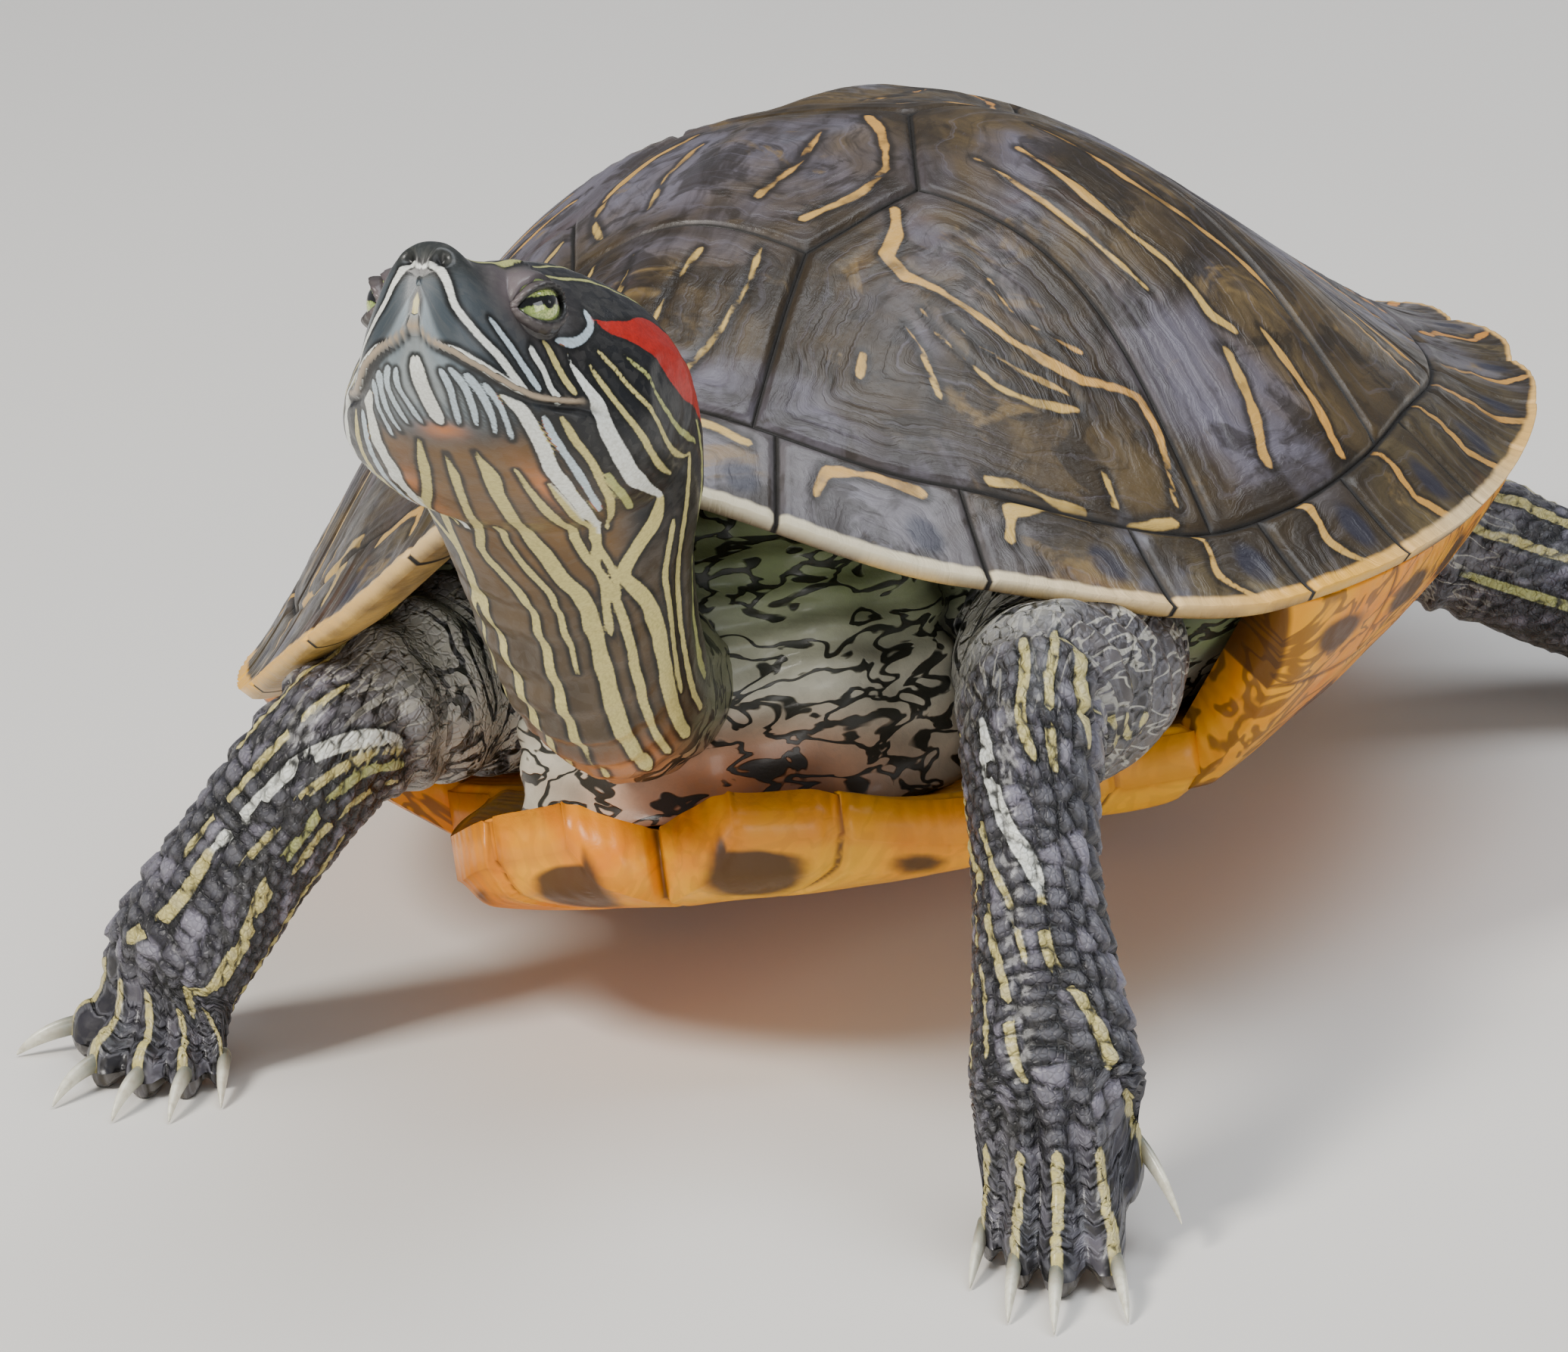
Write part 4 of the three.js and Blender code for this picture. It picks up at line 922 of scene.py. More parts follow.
def laid_on_eye(grid):
    """The skin pushed out over the eyeball and drawn in between the lids, and which points are there."""
    eye = head_local(grid) - EYE_AT
    radius, along, up = np.linalg.norm(eye, axis=-1), eye @ EYE_LONG, eye @ EYE_UP
    opening = np.hypot(along / OPENING[0], up / OPENING[1] / np.where(up > 0, UPPER_LID, 1))
    in_gap = (opening * HEAD_SCALE < LID_GAP) & (eye @ EYE_AXIS > 0)
    short = np.where(in_gap, EYE_RADIUS - 1.2, EYE_RADIUS + 0.6) / HEAD_SCALE - radius
    off_axis = np.hypot(along, up) * HEAD_SCALE
    drawn_in = np.minimum(short, 0) * np.where(in_gap, 1, smooth(7.2, 4.9, off_axis))
    push = (np.maximum(short, 0) * ~in_gap + drawn_in) * (eye @ EYE_AXIS > -0.5)
    lift = turned_with_head(unit(eye) * push[..., None] * HEAD_SCALE)
    lift[..., 0] *= np.sign(grid[..., 0] - HEAD_TIP[0])
    return grid + lift, in_gap


def build_head():
    """The head and neck in one tube, from the snout to where the neck goes into the trunk."""
    plain, s, angle = plain_head()
    coat = ring_coat(s, angle, COAT_RADIUS)
    normal = grid_normals(plain)
    on_head = 1 - smooth(40, 52, s)
    brow = np.linalg.norm((head_local(plain) - np.array(BROW)) * (0.6, 1, 1), axis=-1)
    grid = plain + normal * (3.0 * bump(brow, 0, 3.6))[..., None]
    local = head_local(grid)
    grid, in_gap = laid_on_eye(grid)
    height = 0.35 * bump(away(local, EYE_AT), 6.6, 1.4) * on_head * ~in_gap
    # mouth line, with the lower jaw set in under the beak
    b, x, z = local[..., 0], local[..., 1], local[..., 2]
    gap = z - mouth_level(b) - 1.9 * bump(x, 0, 1.6)
    on_jaw = on_head * (1 - smooth(17, 23, b)) * (np.sin(angle) < 0.6)
    height -= 0.75 * bump(gap, -0.15, 0.5) * on_jaw
    height -= 1.1 * smooth(0.3, -1.6, gap) * on_jaw * (1 - smooth(6, 20, b))
    height += 0.3 * bump(gap, 0.9, 0.8) * on_jaw
    # nostrils, ear drum and jaw muscle
    hole, ear, jaw = (away(local, place) for place in (NOSTRIL, EAR_DRUM, JAW_MUSCLE))
    height = height - 1.3 * bump(hole, 0, 0.72) + 0.22 * bump(hole, 1.35, 0.5)
    height = height + 0.35 * bump(ear, 6.2, 1.3) - 0.25 * bump(ear, 0, 4)
    height += 0.6 * bump(jaw, 0, 7) * on_head
    # folds of the neck: long wrinkles along it, and slack folds across its bends
    slack = smooth(44, 70, s)
    long_coat = coat * (1, 1, 0.13)
    height += 0.55 * slack * noise(long_coat, 2.6, 31)
    height += 0.22 * (1 - slack) * smooth(20, 40, b) * noise(long_coat, 2.2, 31)
    cross = np.sin(s * 1.05 + 1.6 * noise(coat * (1, 1, 0.6), 9, 33)) * smooth(56, 66, s)
    height += 0.4 * cross * smooth(0.1, 0.8, np.sin(angle) ** 2)
    height += 0.10 * noise(grid, 1.3, 35) * smooth(5, 16, b)
    grid = grid + normal * height[..., None]
    # stripes: those of the head are the same on both sides
    mirrored = plain.copy()
    mirrored[..., 0] = HEAD_TIP[0] + np.abs(plain[..., 0] - HEAD_TIP[0])
    line, tone = stripe_field(mirrored, HEAD_STRIPES, left_side)
    neck_line, neck_tone = stripe_field(plain, NECK_STRIPES, left_side)
    tone = np.where(neck_line < line, neck_tone, tone)
    beak = bump(gap, 0.62, 0.34) * on_jaw * smooth(20, 16, b)
    line = np.minimum(line, neck_line) + 6 * smooth(0.55, 0.9, beak) + FAR * smooth(96, 103, s)
    tint = toward(skin_tint(s, angle, grid), (0.40, 0.31, 0.21), 1.2 * beak)
    # painted shade: black in the nostrils and along the crease of the mouth
    pit = np.clip(bump(hole, 0, 0.85) + 0.9 * bump(gap, -0.1, 0.32) * on_jaw, 0, 1)
    skin.add(grid, skin_fields(coat, tint, line=line, tone=tone, own=0.5 * smooth(30, 60, s), pit=pit,
                               vein=smooth(94, 104, s)), cap_start=True)


def skin_tint(s, angle, grid):
    """Base colour of the head and neck: blue-grey in front, blue-black cheeks, brown throat and nape."""
    turn = np.degrees(np.arcsin(np.sin(angle)))
    patchy = noise(grid, 4, 42)
    eye = head_local(grid) - EYE_AT
    rust = bump(np.hypot((s - 13.4) / 1.6, (turn + 90) / 8), 0, 1)
    rust += 0.8 * bump(np.hypot((s - 29) / 8, (turn + 70) / 5.5), 0, 1)
    neck = toward(np.array([0.034, 0.029, 0.016]), (0.075, 0.048, 0.022), smooth(10, -50, turn))
    color = np.array([0.052, 0.066, 0.076])
    for shade, amount in (
            ((0.026, 0.030, 0.028), smooth(8, 40, turn)),  # crown
            ((0.20, 0.245, 0.27), smooth(-36, -50, turn) * smooth(15, 10, s)),  # chin
            ((0.30, 0.33, 0.33), 0.7 * smooth(-60, -80, turn) * smooth(11, 6, s)),
            ((0.006, 0.006, 0.007), 0.95 * smooth(9, 17, s) * smooth(-62, -44, turn)),  # cheeks
            ((0.140, 0.072, 0.018), smooth(-44, -62, turn) * smooth(13, 19, s)),  # throat
            ((0.040, 0.034, 0.033), 0.9 * bump(np.linalg.norm(eye, axis=-1), 4, 4.5)),  # round the eye
            ((0.15, 0.12, 0.125), 0.8 * bump(away(eye, (-4.6, 1, 1.6)), 0, 3.6)),
            ((0.46, 0.16, 0.045), rust * (0.9 + 0.4 * patchy)),
            (neck, smooth(45, 70, s)),
            ((0.20, 0.21, 0.12), smooth(92, 106, s + 3 * patchy)),  # the loose skin of the neck's root
            ((0.42, 0.16, 0.06), smooth(86, 96, s) * smooth(-20, -60, turn) * 0.8)):
        color = toward(color, shade, amount)
    return speckled(color, 0.25 * noise(grid, 5, 41) + 0.12 * patchy)


def on_eye(side, along, up, radius):
    """A point at a radius from the eye's centre, offset along and up the eye as seen from outside."""
    out = np.sqrt(np.maximum(radius**2 - along**2 - up**2, 0))
    offset = EYE_LONG * along[..., None] + EYE_UP * up[..., None] + EYE_AXIS * out[..., None]
    return in_head((EYE_AT + offset / HEAD_SCALE) * (1, side, 1))


# The eyelid's section: (how far out from the opening's middle, radius from the eye's centre).
LID_PROFILE = [(0.96, 4.2), (0.98, 4.6), (1.0, 4.86), (1.04, 5.08), (1.1, 5.3), (1.18, 5.46), (1.27, 5.56),
               (1.36, 5.5), (1.44, 5.3), (1.52, 4.9), (1.58, 4.4)]


def build_lids():
    """The rims of the eyelids: a strip round each eye that rises out of the skin and turns in."""
    turn = np.linspace(0, TAU, 96, endpoint=False)[None, :]
    reach, radius = np.array(LID_PROFILE).T[..., None]
    corner = np.abs(np.sin(turn)) ** 1.4 * np.sign(np.sin(turn))
    wide = np.minimum(OPENING[0] * (0.75 * reach + 0.25), radius * 0.95)
    tall = OPENING[1] * np.where(corner > 0, 0.74, 1.04) * (1.45 * reach - 0.45)
    wrinkle = 0.1 * np.sin(turn * 19 + 2) * smooth(1.05, 1.3, reach)
    rim = reach - 0.1 * smooth(0, 0.5, corner)
    front = bump(turn, np.radians(170), 0.8)
    crescent = bump(turn, np.radians(318), 0.5) * bump(rim, 1.62, 0.16)
    for _, side in SIDES:
        grid = on_eye(side, wide * np.cos(turn), tall * corner, radius + wrinkle)
        lid = toward(np.array([0.042, 0.035, 0.034]), (0.16, 0.13, 0.13), front)
        # painted shade: black along the lid's inner edge by the eye and in the crease where the lid meets the
        # skin
        tint = toward(np.array(BLACK), lid, smooth(1.1, 1.2, rim) * smooth(1.56, 1.44, rim))
        skin.add(grid, skin_fields(grid, speckled(tint, 0.3 * noise(grid, 1.2, 51)), tone=BLUE,
                                   line=np.where(crescent > 0.25, -0.4, 3.0)))


# ------------------------------------------------------------------ skin: legs
DIGITS = np.array([-0.84, -0.42, 0.0, 0.42, 0.84])
# Each leg: the way its broad side faces at the hip and at the wrist, cross-sections from the hip
# to the wrist (x, y, z, half width, half height) and the five claw tips, inner one first.
LEGS = {
    "left_fore": dict(
        side=1, levels=[(1, -0.1, 0.1), (0.96, 0.28, 0)], kind="fore",
        stations=[(38, -46, 46, 16, 14), (50, -77, 51.5, 14, 12.5), (55, -105, 56, 9.4, 10.4),
                  (59.5, -120, 42, 8, 8.8), (64.5, -132, 27, 9.8, 7.8), (66.8, -137.5, 20.5, 10.8, 7.2)],
        tips=[(61.5, -159), (70, -168.5), (77, -171), (85, -166), (84.5, -143, 4)], claw=11, loose=0.62),
    "right_fore": dict(
        side=-1, levels=[(-0.7, 0.3, 0.65), (-0.92, 0.38, 0)], kind="fore",
        stations=[(-35, -44, 40, 16, 14), (-45, -70, 45, 13.5, 13), (-52.5, -87.5, 42, 10.2, 10.2),
                  (-62.5, -94, 30, 10.2, 8.7), (-69.5, -98.3, 20.5, 11.6, 7.6),
                  (-73, -100.5, 15.5, 12.2, 6.8)],
        tips=[(-61, -117.5), (-66, -123.5), (-74, -124.5), (-84.5, -121), (-98, -104)], claw=8.5, loose=0.6),
    "left_hind": dict(
        side=1, levels=[(0.2, 1, 0), (-0.62, 0.78, 0)], kind="hind",
        stations=[(38, 48, 31, 16, 9.5), (57, 59, 27, 15.5, 9.5), (78, 64, 17, 13.6, 9.4),
                  (95, 64, 14, 11.8, 10), (104, 76, 11.5, 11, 8.6), (107.5, 81.5, 9.6, 11.5, 7.6)],
        tips=[(137, 90), (140, 100), (137, 109), (129, 116), (119, 119)], claw=8.5, loose=0.4),
    "right_hind": dict(
        side=-1, levels=[(-0.2, 1, 0), (0.62, 0.78, 0)], kind="hind",
        stations=[(-38, 50, 22, 15, 9), (-57, 60, 17, 14, 8.6), (-78, 64, 12, 12.6, 8.2),
                  (-94, 65, 11, 11.2, 8.8), (-103, 76, 9.6, 11, 8), (-106, 81.5, 8.4, 11.5, 7.2)],
        tips=[(-135, 90), (-138, 100), (-135, 109), (-127, 116), (-117, 119)], claw=8.5, loose=0.4),
}
BAR = 10.0  # radius of the straight round bar that a leg's skin pattern is laid out on
TIP_HEIGHT = 0.4


class Leg:
    """A leg as one tube from the hip or shoulder to the wrist, and a webbed foot beyond it."""

    def __init__(self, side, levels, kind, stations, tips, claw, loose):
        st = np.array(stations, float)
        gaps = np.linalg.norm(np.diff(st[:, :3], axis=0), axis=1)
        self.keys = np.insert(np.cumsum(gaps), 0, 0)
        self.at = path(self.keys, st[:, :3])
        self.wide, self.high = curve(self.keys, st[:, 3]), curve(self.keys, st[:, 4])
        self.side, self.levels, self.length = side, np.array(levels, float), self.keys[-1]
        self.kind, self.claw, self.loose = kind, claw, loose
        self.last = unit(st[-1, :3] - st[-2, :3])
        self.tips = np.array([tip if len(tip) == 3 else (*tip, TIP_HEIGHT) for tip in tips], float)
        end, across, up = self.frame_at(np.array([self.length]))
        self.base_mid, self.base_across, self.base_up = end[0], across[0], up[0]
        run = self.tips - self.base(DIGITS)
        run[:, 2] *= 0.5
        self.heading = unit(run)
        self.ends = self.tips - self.heading * claw
        self.ends[:, 2] = np.where(self.tips[:, 2] < 1, 2.5, self.ends[:, 2])

    def frame_at(self, s):
        middle = self.at(s)
        along = unit(self.at(s + 0.5) - self.at(s - 0.5) + 1e-9)
        along = np.where((s > self.length - 1)[..., None], self.last, along)
        level = lerp(self.levels[0], self.levels[1], (s / self.length)[..., None])
        across = unit(level - along * np.sum(level * along, -1, keepdims=True))
        return middle, across, self.side * np.cross(along, across)

    def base(self, w):
        return self.base_mid + self.base_across * (np.asarray(w)[..., None] * self.wide(self.length))

    def surface(self, s, turn):
        """A point of the tube: turn 0 is the outer edge, 90 degrees the front, 180 the inner edge."""
        middle, across, up = self.frame_at(np.asarray(s, float))
        wide, high = self.wide(s)[..., None], self.high(s)[..., None]
        return middle + across * wide * np.cos(turn)[..., None] + up * high * np.sin(turn)[..., None]

    def foot_sheet(self, v, w):
        """The middle sheet of the foot, from the wrist at v = 0 to its scalloped edge at v = 1."""
        ends = np.stack([np.interp(w, DIGITS, self.ends[:, k]) for k in range(3)], -1)
        heading = unit(np.stack([np.interp(w, DIGITS, self.heading[:, k]) for k in range(3)], -1))
        start = self.base(w)
        web = 0.80 if self.kind == "hind" else 0.62
        reach = lerp(lerp(web, 1.0, smooth(0.15, 0.75, digit_ridge(w))), 0.4, smooth(0.9, 1.0, np.abs(w)))
        size = np.linalg.norm(ends - start, axis=-1)[..., None]
        p1, p2 = start + self.last * size * 0.36, ends - heading * size * 0.36
        p2[..., 2] = ends[..., 2] + 1.2
        u = (v * reach)[..., None]
        sheet = start * (1 - u) ** 3 + 3 * p1 * u * (1 - u) ** 2 + 3 * p2 * u**2 * (1 - u) + ends * u**3
        sheet[..., 2] -= 1.5 * (1 - smooth(0.2, 0.7, digit_ridge(w))) * smooth(0.2, 0.7, v)
        return sheet

    def foot(self, v, turn):
        """Points of the foot's surface, and how far across it each one lies, from -1 to 1."""
        v, turn = np.broadcast_arrays(v, turn)
        folded = np.where(turn > np.pi, TAU - turn, turn)
        w = lerp(np.cos(turn), 1 - 2 * folded / np.pi, smooth(0, 0.25, v))
        over = np.where(turn > np.pi, -1.0, 1.0)
        edge = np.sqrt(np.clip((1 - np.abs(w)) / 0.1, 0, 1))
        wrist = self.high(self.length) * np.sqrt(np.maximum(1 - w**2, 0))
        thick = lerp(wrist, (0.4 + 3.0 * digit_ridge(w) ** 1.4) * edge, smooth(0.0, 0.62, v))
        knuckles = 1 + 0.16 * np.sin(v * 13 + 2) * digit_ridge(w) * smooth(0.3, 0.6, v)
        thick = thick * knuckles * np.sqrt(np.clip(1 - np.clip((v - 0.86) / 0.14, 0, 1) ** 2, 0, 1))
        lift = unit(lerp(self.base_up, np.array([0, 0, 1.0]), smooth(0.0, 0.8, v)[..., None]))
        return self.foot_sheet(v, w) + lift * (over * thick)[..., None], w


def digit_ridge(w):
    """1 down the middle of each digit, and 0 on the web between them."""
    return np.clip(sum(bump(w, d, 0.18) for d in DIGITS), 0, 1)


def digit_gap(w):
    """How far across the foot the nearest digit's middle is."""
    return np.min(np.abs(w[..., None] - DIGITS), axis=-1)


# Stripes on a leg: (half width, colour, [(distance along, turn in degrees), ...]).
HIND_STRIPES = [
    (0.9, CREAM, [(20, 100), (45, 96), (70, 90), (95, 92), (112, 96)]),
    (0.55, CREAM, [(20, 60), (50, 62), (75, 60), (100, 56)]),
    (0.55, CREAM, [(20, 135), (45, 132), (75, 128), (100, 125)]),
    (0.7, GREENISH, [(25, 172), (55, 170), (85, 165)]),
    (0.6, CREAM, [(30, 20), (60, 24), (88, 20)]),
]
LEG_STRIPES = {
    "left_fore": [
        (1.15, WHITE, [(68, 118), (74, 114), (78, 108), (83, 96), (86, 84), (90, 77)]),
        (0.9, CREAM, [(90, 77), (95, 80), (99, 78), (103, 64), (108, 52), (115, 42)]),
        (0.7, CREAM, [(64, 174), (72, 170), (78, 164), (83, 156), (88, 131), (92, 131), (98, 122), (103, 117),
                      (108, 116), (115, 110)]),
        (0.45, CREAM, [(78, 178), (92, 174), (100, 168), (110, 165)]),
        (0.4, CREAM, [(84, 146), (93, 152), (100, 141), (110, 138)]),
        (0.45, CREAM, [(77, 134), (85, 122), (91, 106), (99, 98)]),
        (0.8, CREAM, [(50, 98), (58, 90), (64, 82), (68, 84), (73, 72)]),
        (0.65, CREAM, [(56, 70), (62, 62), (68, 60), (74, 54)]),
        (0.8, CREAM, [(58, 48), (64, 32), (70, 22)]),
        (0.5, CREAM, [(64, 12), (60, 352), (56, 335), (50, 318)]),
        (0.45, CREAM, [(58, 4), (53, 345), (47, 325)]),
        (0.45, CREAM, [(52, 4), (46, 342), (41, 326)]),
        (0.6, CREAM, [(60, 232), (76, 226), (92, 222), (106, 220)]),
        (0.5, CREAM, [(60, 274), (76, 270), (92, 268), (106, 266)]),
    ],
    "right_fore": [
        (0.95, WHITE, [(43, 164), (47, 138), (50, 122), (53, 112), (58, 106), (64, 102), (68, 97)]),
        (1.0, CREAM, [(68, 97), (74, 98), (80, 92), (86, 70)]),
        (0.6, GREENISH, [(44, 182), (50, 156), (56, 150), (62, 150), (66, 151)]),
        (1.15, CREAM, [(66, 151), (70, 156), (76, 160), (82, 160), (88, 152), (94, 142)]),
        (0.45, CREAM, [(46, 190), (53, 168), (58, 163), (64, 166)]),
        (0.5, CREAM, [(56, 188), (66, 198), (76, 200), (88, 196)]),
        (0.5, CREAM, [(43, 172), (50, 142), (56, 130), (62, 128), (68, 126)]),
        (0.5, CREAM, [(44, 100), (54, 88), (64, 80), (72, 76)]),
        (0.5, CREAM, [(30, 60), (44, 56), (56, 48)]),
        (0.6, CREAM, [(40, 232), (58, 226), (76, 222)]),
    ],
    "left_hind": HIND_STRIPES,
    "right_hind": HIND_STRIPES,
}
# The broad scales across a leg: (turn in degrees, how far down the leg it is shifted).
BROAD_PLATES, FRONT_BANDS = ((4, 0), (30, 0), (336, 1.5)), ((62, 0.5), (92, 0), (122, 0.7))


def leg_scales(leg, seed):
    """Middles of the scales on a leg: small ones, with broad plates down its outer edge and front."""
    dice = np.random.default_rng(seed)
    end = leg.length + 36
    plates_from, bands_from = 0.42 * leg.length, 0.66 * leg.length
    rows = []
    for row, s in enumerate(np.arange(0, end, 2.0)):
        for turn in np.arange(0, 360, 15) + (row % 2) * 7.5:
            on_plates = (turn < 42 or turn > 325) and s > plates_from
            on_bands = 50 < turn < 135 and s > bands_from
            if not on_plates and not on_bands:
                rows.append((s, turn))
    for gap, start, row in ((5.2, plates_from, BROAD_PLATES), (2.7, bands_from, FRONT_BANDS)):
        rows += [(s + shift, turn) for s in np.arange(start, end, gap) for turn, shift in row]
    marks = np.array(rows, float)
    marks[:, 0] += dice.normal(0, 0.3, len(marks))
    marks[:, 1] += dice.normal(0, 2.2, len(marks))
    return ring_coat(marks[:, 0], np.radians(marks[:, 1]), BAR)


def on_bar(s, turn):
    return ring_coat(s, np.radians(turn), BAR)


def build_leg(name, leg, sides, gap):
    """One leg and its foot. sides and gap set how fine its rings are."""
    s = np.arange(0, leg.length, gap)[:, None]
    angle = np.linspace(0, TAU, sides, endpoint=False)[None, :]
    tube = leg.surface(*np.broadcast_arrays(s, angle))
    span = np.linalg.norm(leg.ends[2] - leg.base_mid)
    v = 1 - (1 - np.linspace(0, 1, int(span / gap * 1.3))[1:, None]) ** 1.2
    foot, w = leg.foot(v, angle)
    grid = np.concatenate([tube, foot])
    s, turn = np.broadcast_arrays(np.concatenate([s, leg.length + v * span]), angle)
    past = np.concatenate([np.zeros(len(tube)), v[:, 0]])[:, None] * np.ones(sides)
    w = np.concatenate([np.cos(turn[:len(tube)]), w])
    coat = ring_coat(s, turn, BAR)
    edge, own, lap = scale_pattern(coat, leg_scales(leg, len(name)))
    # relief: scales, broad plates, knuckles, and the slack folds of the limb's root
    part, over, ridge = s / leg.length, np.sin(turn), digit_ridge(w)
    from_root = part - leg.loose
    scaly = smooth(-0.22, 0.04, from_root) * (1 - 0.6 * smooth(0.25, 0.5, past))
    plates = smooth(0.6, 0.85, np.cos(turn)) * smooth(0.4, 0.5, part) * (1 - smooth(0.3, 0.6, past))
    height = (0.26 + 0.2 * own) * (smooth(0, 0.7, edge) - 0.5) * scaly
    height += plates * (0.55 * np.clip(lap / 3, -1, 1) + 0.5 * smooth(0.1, 1.0, edge))
    knuckle = np.abs(np.sin(np.pi * (s - leg.length) / 2.3)) ** 0.6 - 0.6
    height += 0.22 * knuckle * smooth(0.25, 0.45, past) * (over > 0) * ridge
    slack = 1 - smooth(-0.16, 0.06, from_root)
    folds = np.sin(s * 0.85 + 3.2 * noise(coat, 12, 61)) + 0.8 * noise(coat * (1, 1, 0.5), 4, 62)
    height += 0.65 * slack * folds
    grid = raised(grid, height * (1 - smooth(0.9, 1.0, past)))
    grid[..., 2] = np.maximum(grid[..., 2], SKIN_FLOOR)
    # stripes, with one down each toe
    shoulder = smooth(-0.06, -0.2, from_root) * smooth(0.5, -0.1, np.cos(turn)) * (leg.kind == "fore")
    line, tone = stripe_field(coat, LEG_STRIPES[name], on_bar)
    line = line - 0.08 + 1.6 * (own < 0.12) * smooth(0.5, 0.7, part)
    toe = digit_gap(w) * leg.wide(leg.length) * lerp(0.9, 1.2, past) - 0.55 - 0.35 * noise(coat, 1.8, 64)
    toe = np.where(over > 0, toe + 3 * smooth(0.48, 0.3, past + 0.08 * noise(coat, 5, 66)), FAR)
    tone = np.where(toe < line, CREAM, tone)
    line = np.minimum(line, toe) + 6 * shoulder
    under = smooth(-0.15, -0.8, over)
    tint = np.array([0.008, 0.008, 0.010])
    for shade, amount in (
            ((0.20, 0.185, 0.24), own**5 * scaly + 0.07 + 0.10 * noise(coat, 9, 67)),
            ((0.16, 0.14, 0.13), slack * (0.35 + 0.3 * noise(coat, 8, 65) + 0.4 * under)),
            ((0.10, 0.085, 0.055), 0.6 * under),
            ((0.58, 0.58, 0.52), 0.9 * shoulder),
            ((0.012, 0.010, 0.010), smooth(0.62, 0.25, ridge) * smooth(0.25, 0.5, past))):  # the web
        tint = toward(tint, shade, amount)
    fields = skin_fields(coat, tint, line=line, tone=tone, cell=edge / np.maximum(scaly, 0.35), own=own,
                         vein=shoulder, pale=0.8 * slack * (1 - shoulder))
    skin.add(grid, fields, cap_start=True, cap_end=True)


# ------------------------------------------------------------------ skin: trunk and tail
def belly_top(plan):
    """The height of the soft skin that lies on the plastron."""
    return plastron_top(plan) + 0.4


def build_trunk():
    """The soft walls of the pockets that the neck and legs come out of, from roof to plastron."""
    bearing = np.linspace(-180, 180, 420, endpoint=False)[None, :]
    turn = np.abs(bearing)
    flank = smooth(50, 62, turn) * (1 - smooth(114, 126, turn))
    wall = lerp(pocket_wall(turn), 0.93, flank)
    floor_edge = lerp(belly_edge(turn) + 0.2 * smooth(40, 20, turn), 0.57, flank)
    inside, steps = -PLATE - 1.1, 64
    roof = [over_dome(plan_at(bearing, part * wall), inside) for part in (0.05, 0.4, 0.7, 0.86, 0.95)]
    high, low = over_dome(plan_at(bearing, wall), inside), plan_at(bearing, floor_edge)
    walls = []
    for mix in np.linspace(0, 1, steps):
        level = lerp(high[..., 2], belly_top(low), mix)
        walls.append(np.concatenate([lerp(high[..., :2], low, mix**1.3), level[..., None]], -1))
    inner = [plan_at(bearing, part * floor_edge) for part in (0.95, 0.6, 0.1)]
    floor = [np.concatenate([plan, belly_top(plan)[..., None]], -1) for plan in inner]
    grid = np.concatenate(roof + walls + floor)
    mix = np.clip((np.arange(len(grid)) - len(roof)) / (steps - 1), 0, 1)[:, None] * np.ones_like(bearing)
    drape = np.sin(bearing * 0.5 + 4 * noise(grid * (1, 1, 0.7), 26, 71))
    ripple = np.sin(grid[..., 2] * 1.1 + 5 * noise(grid * (1, 1, 0.8), 16, 76))
    height = bump(mix, 0.5, 0.42) * (1.3 * drape + 0.7 * ripple + 1.1 * noise(grid * (1, 1, 1.8), 9, 72))
    grid = raised(grid, height * (1 - flank))
    olive, pale, rust = np.array([0.17, 0.21, 0.10]), (0.55, 0.54, 0.44), (0.46, 0.17, 0.06)
    tint = toward(olive, pale, smooth(0.42, 0.72, mix + 0.16 * noise(grid, 14, 74)))
    tint = toward(tint, rust, smooth(0.72, 0.92, mix) * bump(bearing, 8, 17))
    fields = skin_fields(grid, speckled(tint, 0.3 * noise(grid, 5, 75)), cell=FAR, vein=0.95)
    skin.add(shell_turned(grid), fields, cap_start=True, cap_end=True)


# The tail's cross-sections: x, y, z, half width, half height.
TAIL = [(0, 62, 24, 11, 9), (0, 86, 19, 8.6, 7.4), (2, 104, 12, 5.7, 5.2), (8, 120, 6.5, 3.7, 3.4),
        (18, 130, 3, 2.3, 2), (26, 133, 1.3, 0.7, 0.6)]
TAIL_BAR = 6.0
TAIL_STRIPES = [
    (0.7, CREAM, [(10, 60), (40, 60), (75, 70)]),
    (0.7, CREAM, [(10, 120), (40, 120), (75, 110)]),
    (0.8, GREENISH, [(5, 0), (40, 5), (70, 5)]),
    (0.8, GREENISH, [(5, 180), (40, 175), (70, 175)]),
]


def on_tail_bar(s, turn):
    return ring_coat(s, np.radians(turn), TAIL_BAR)


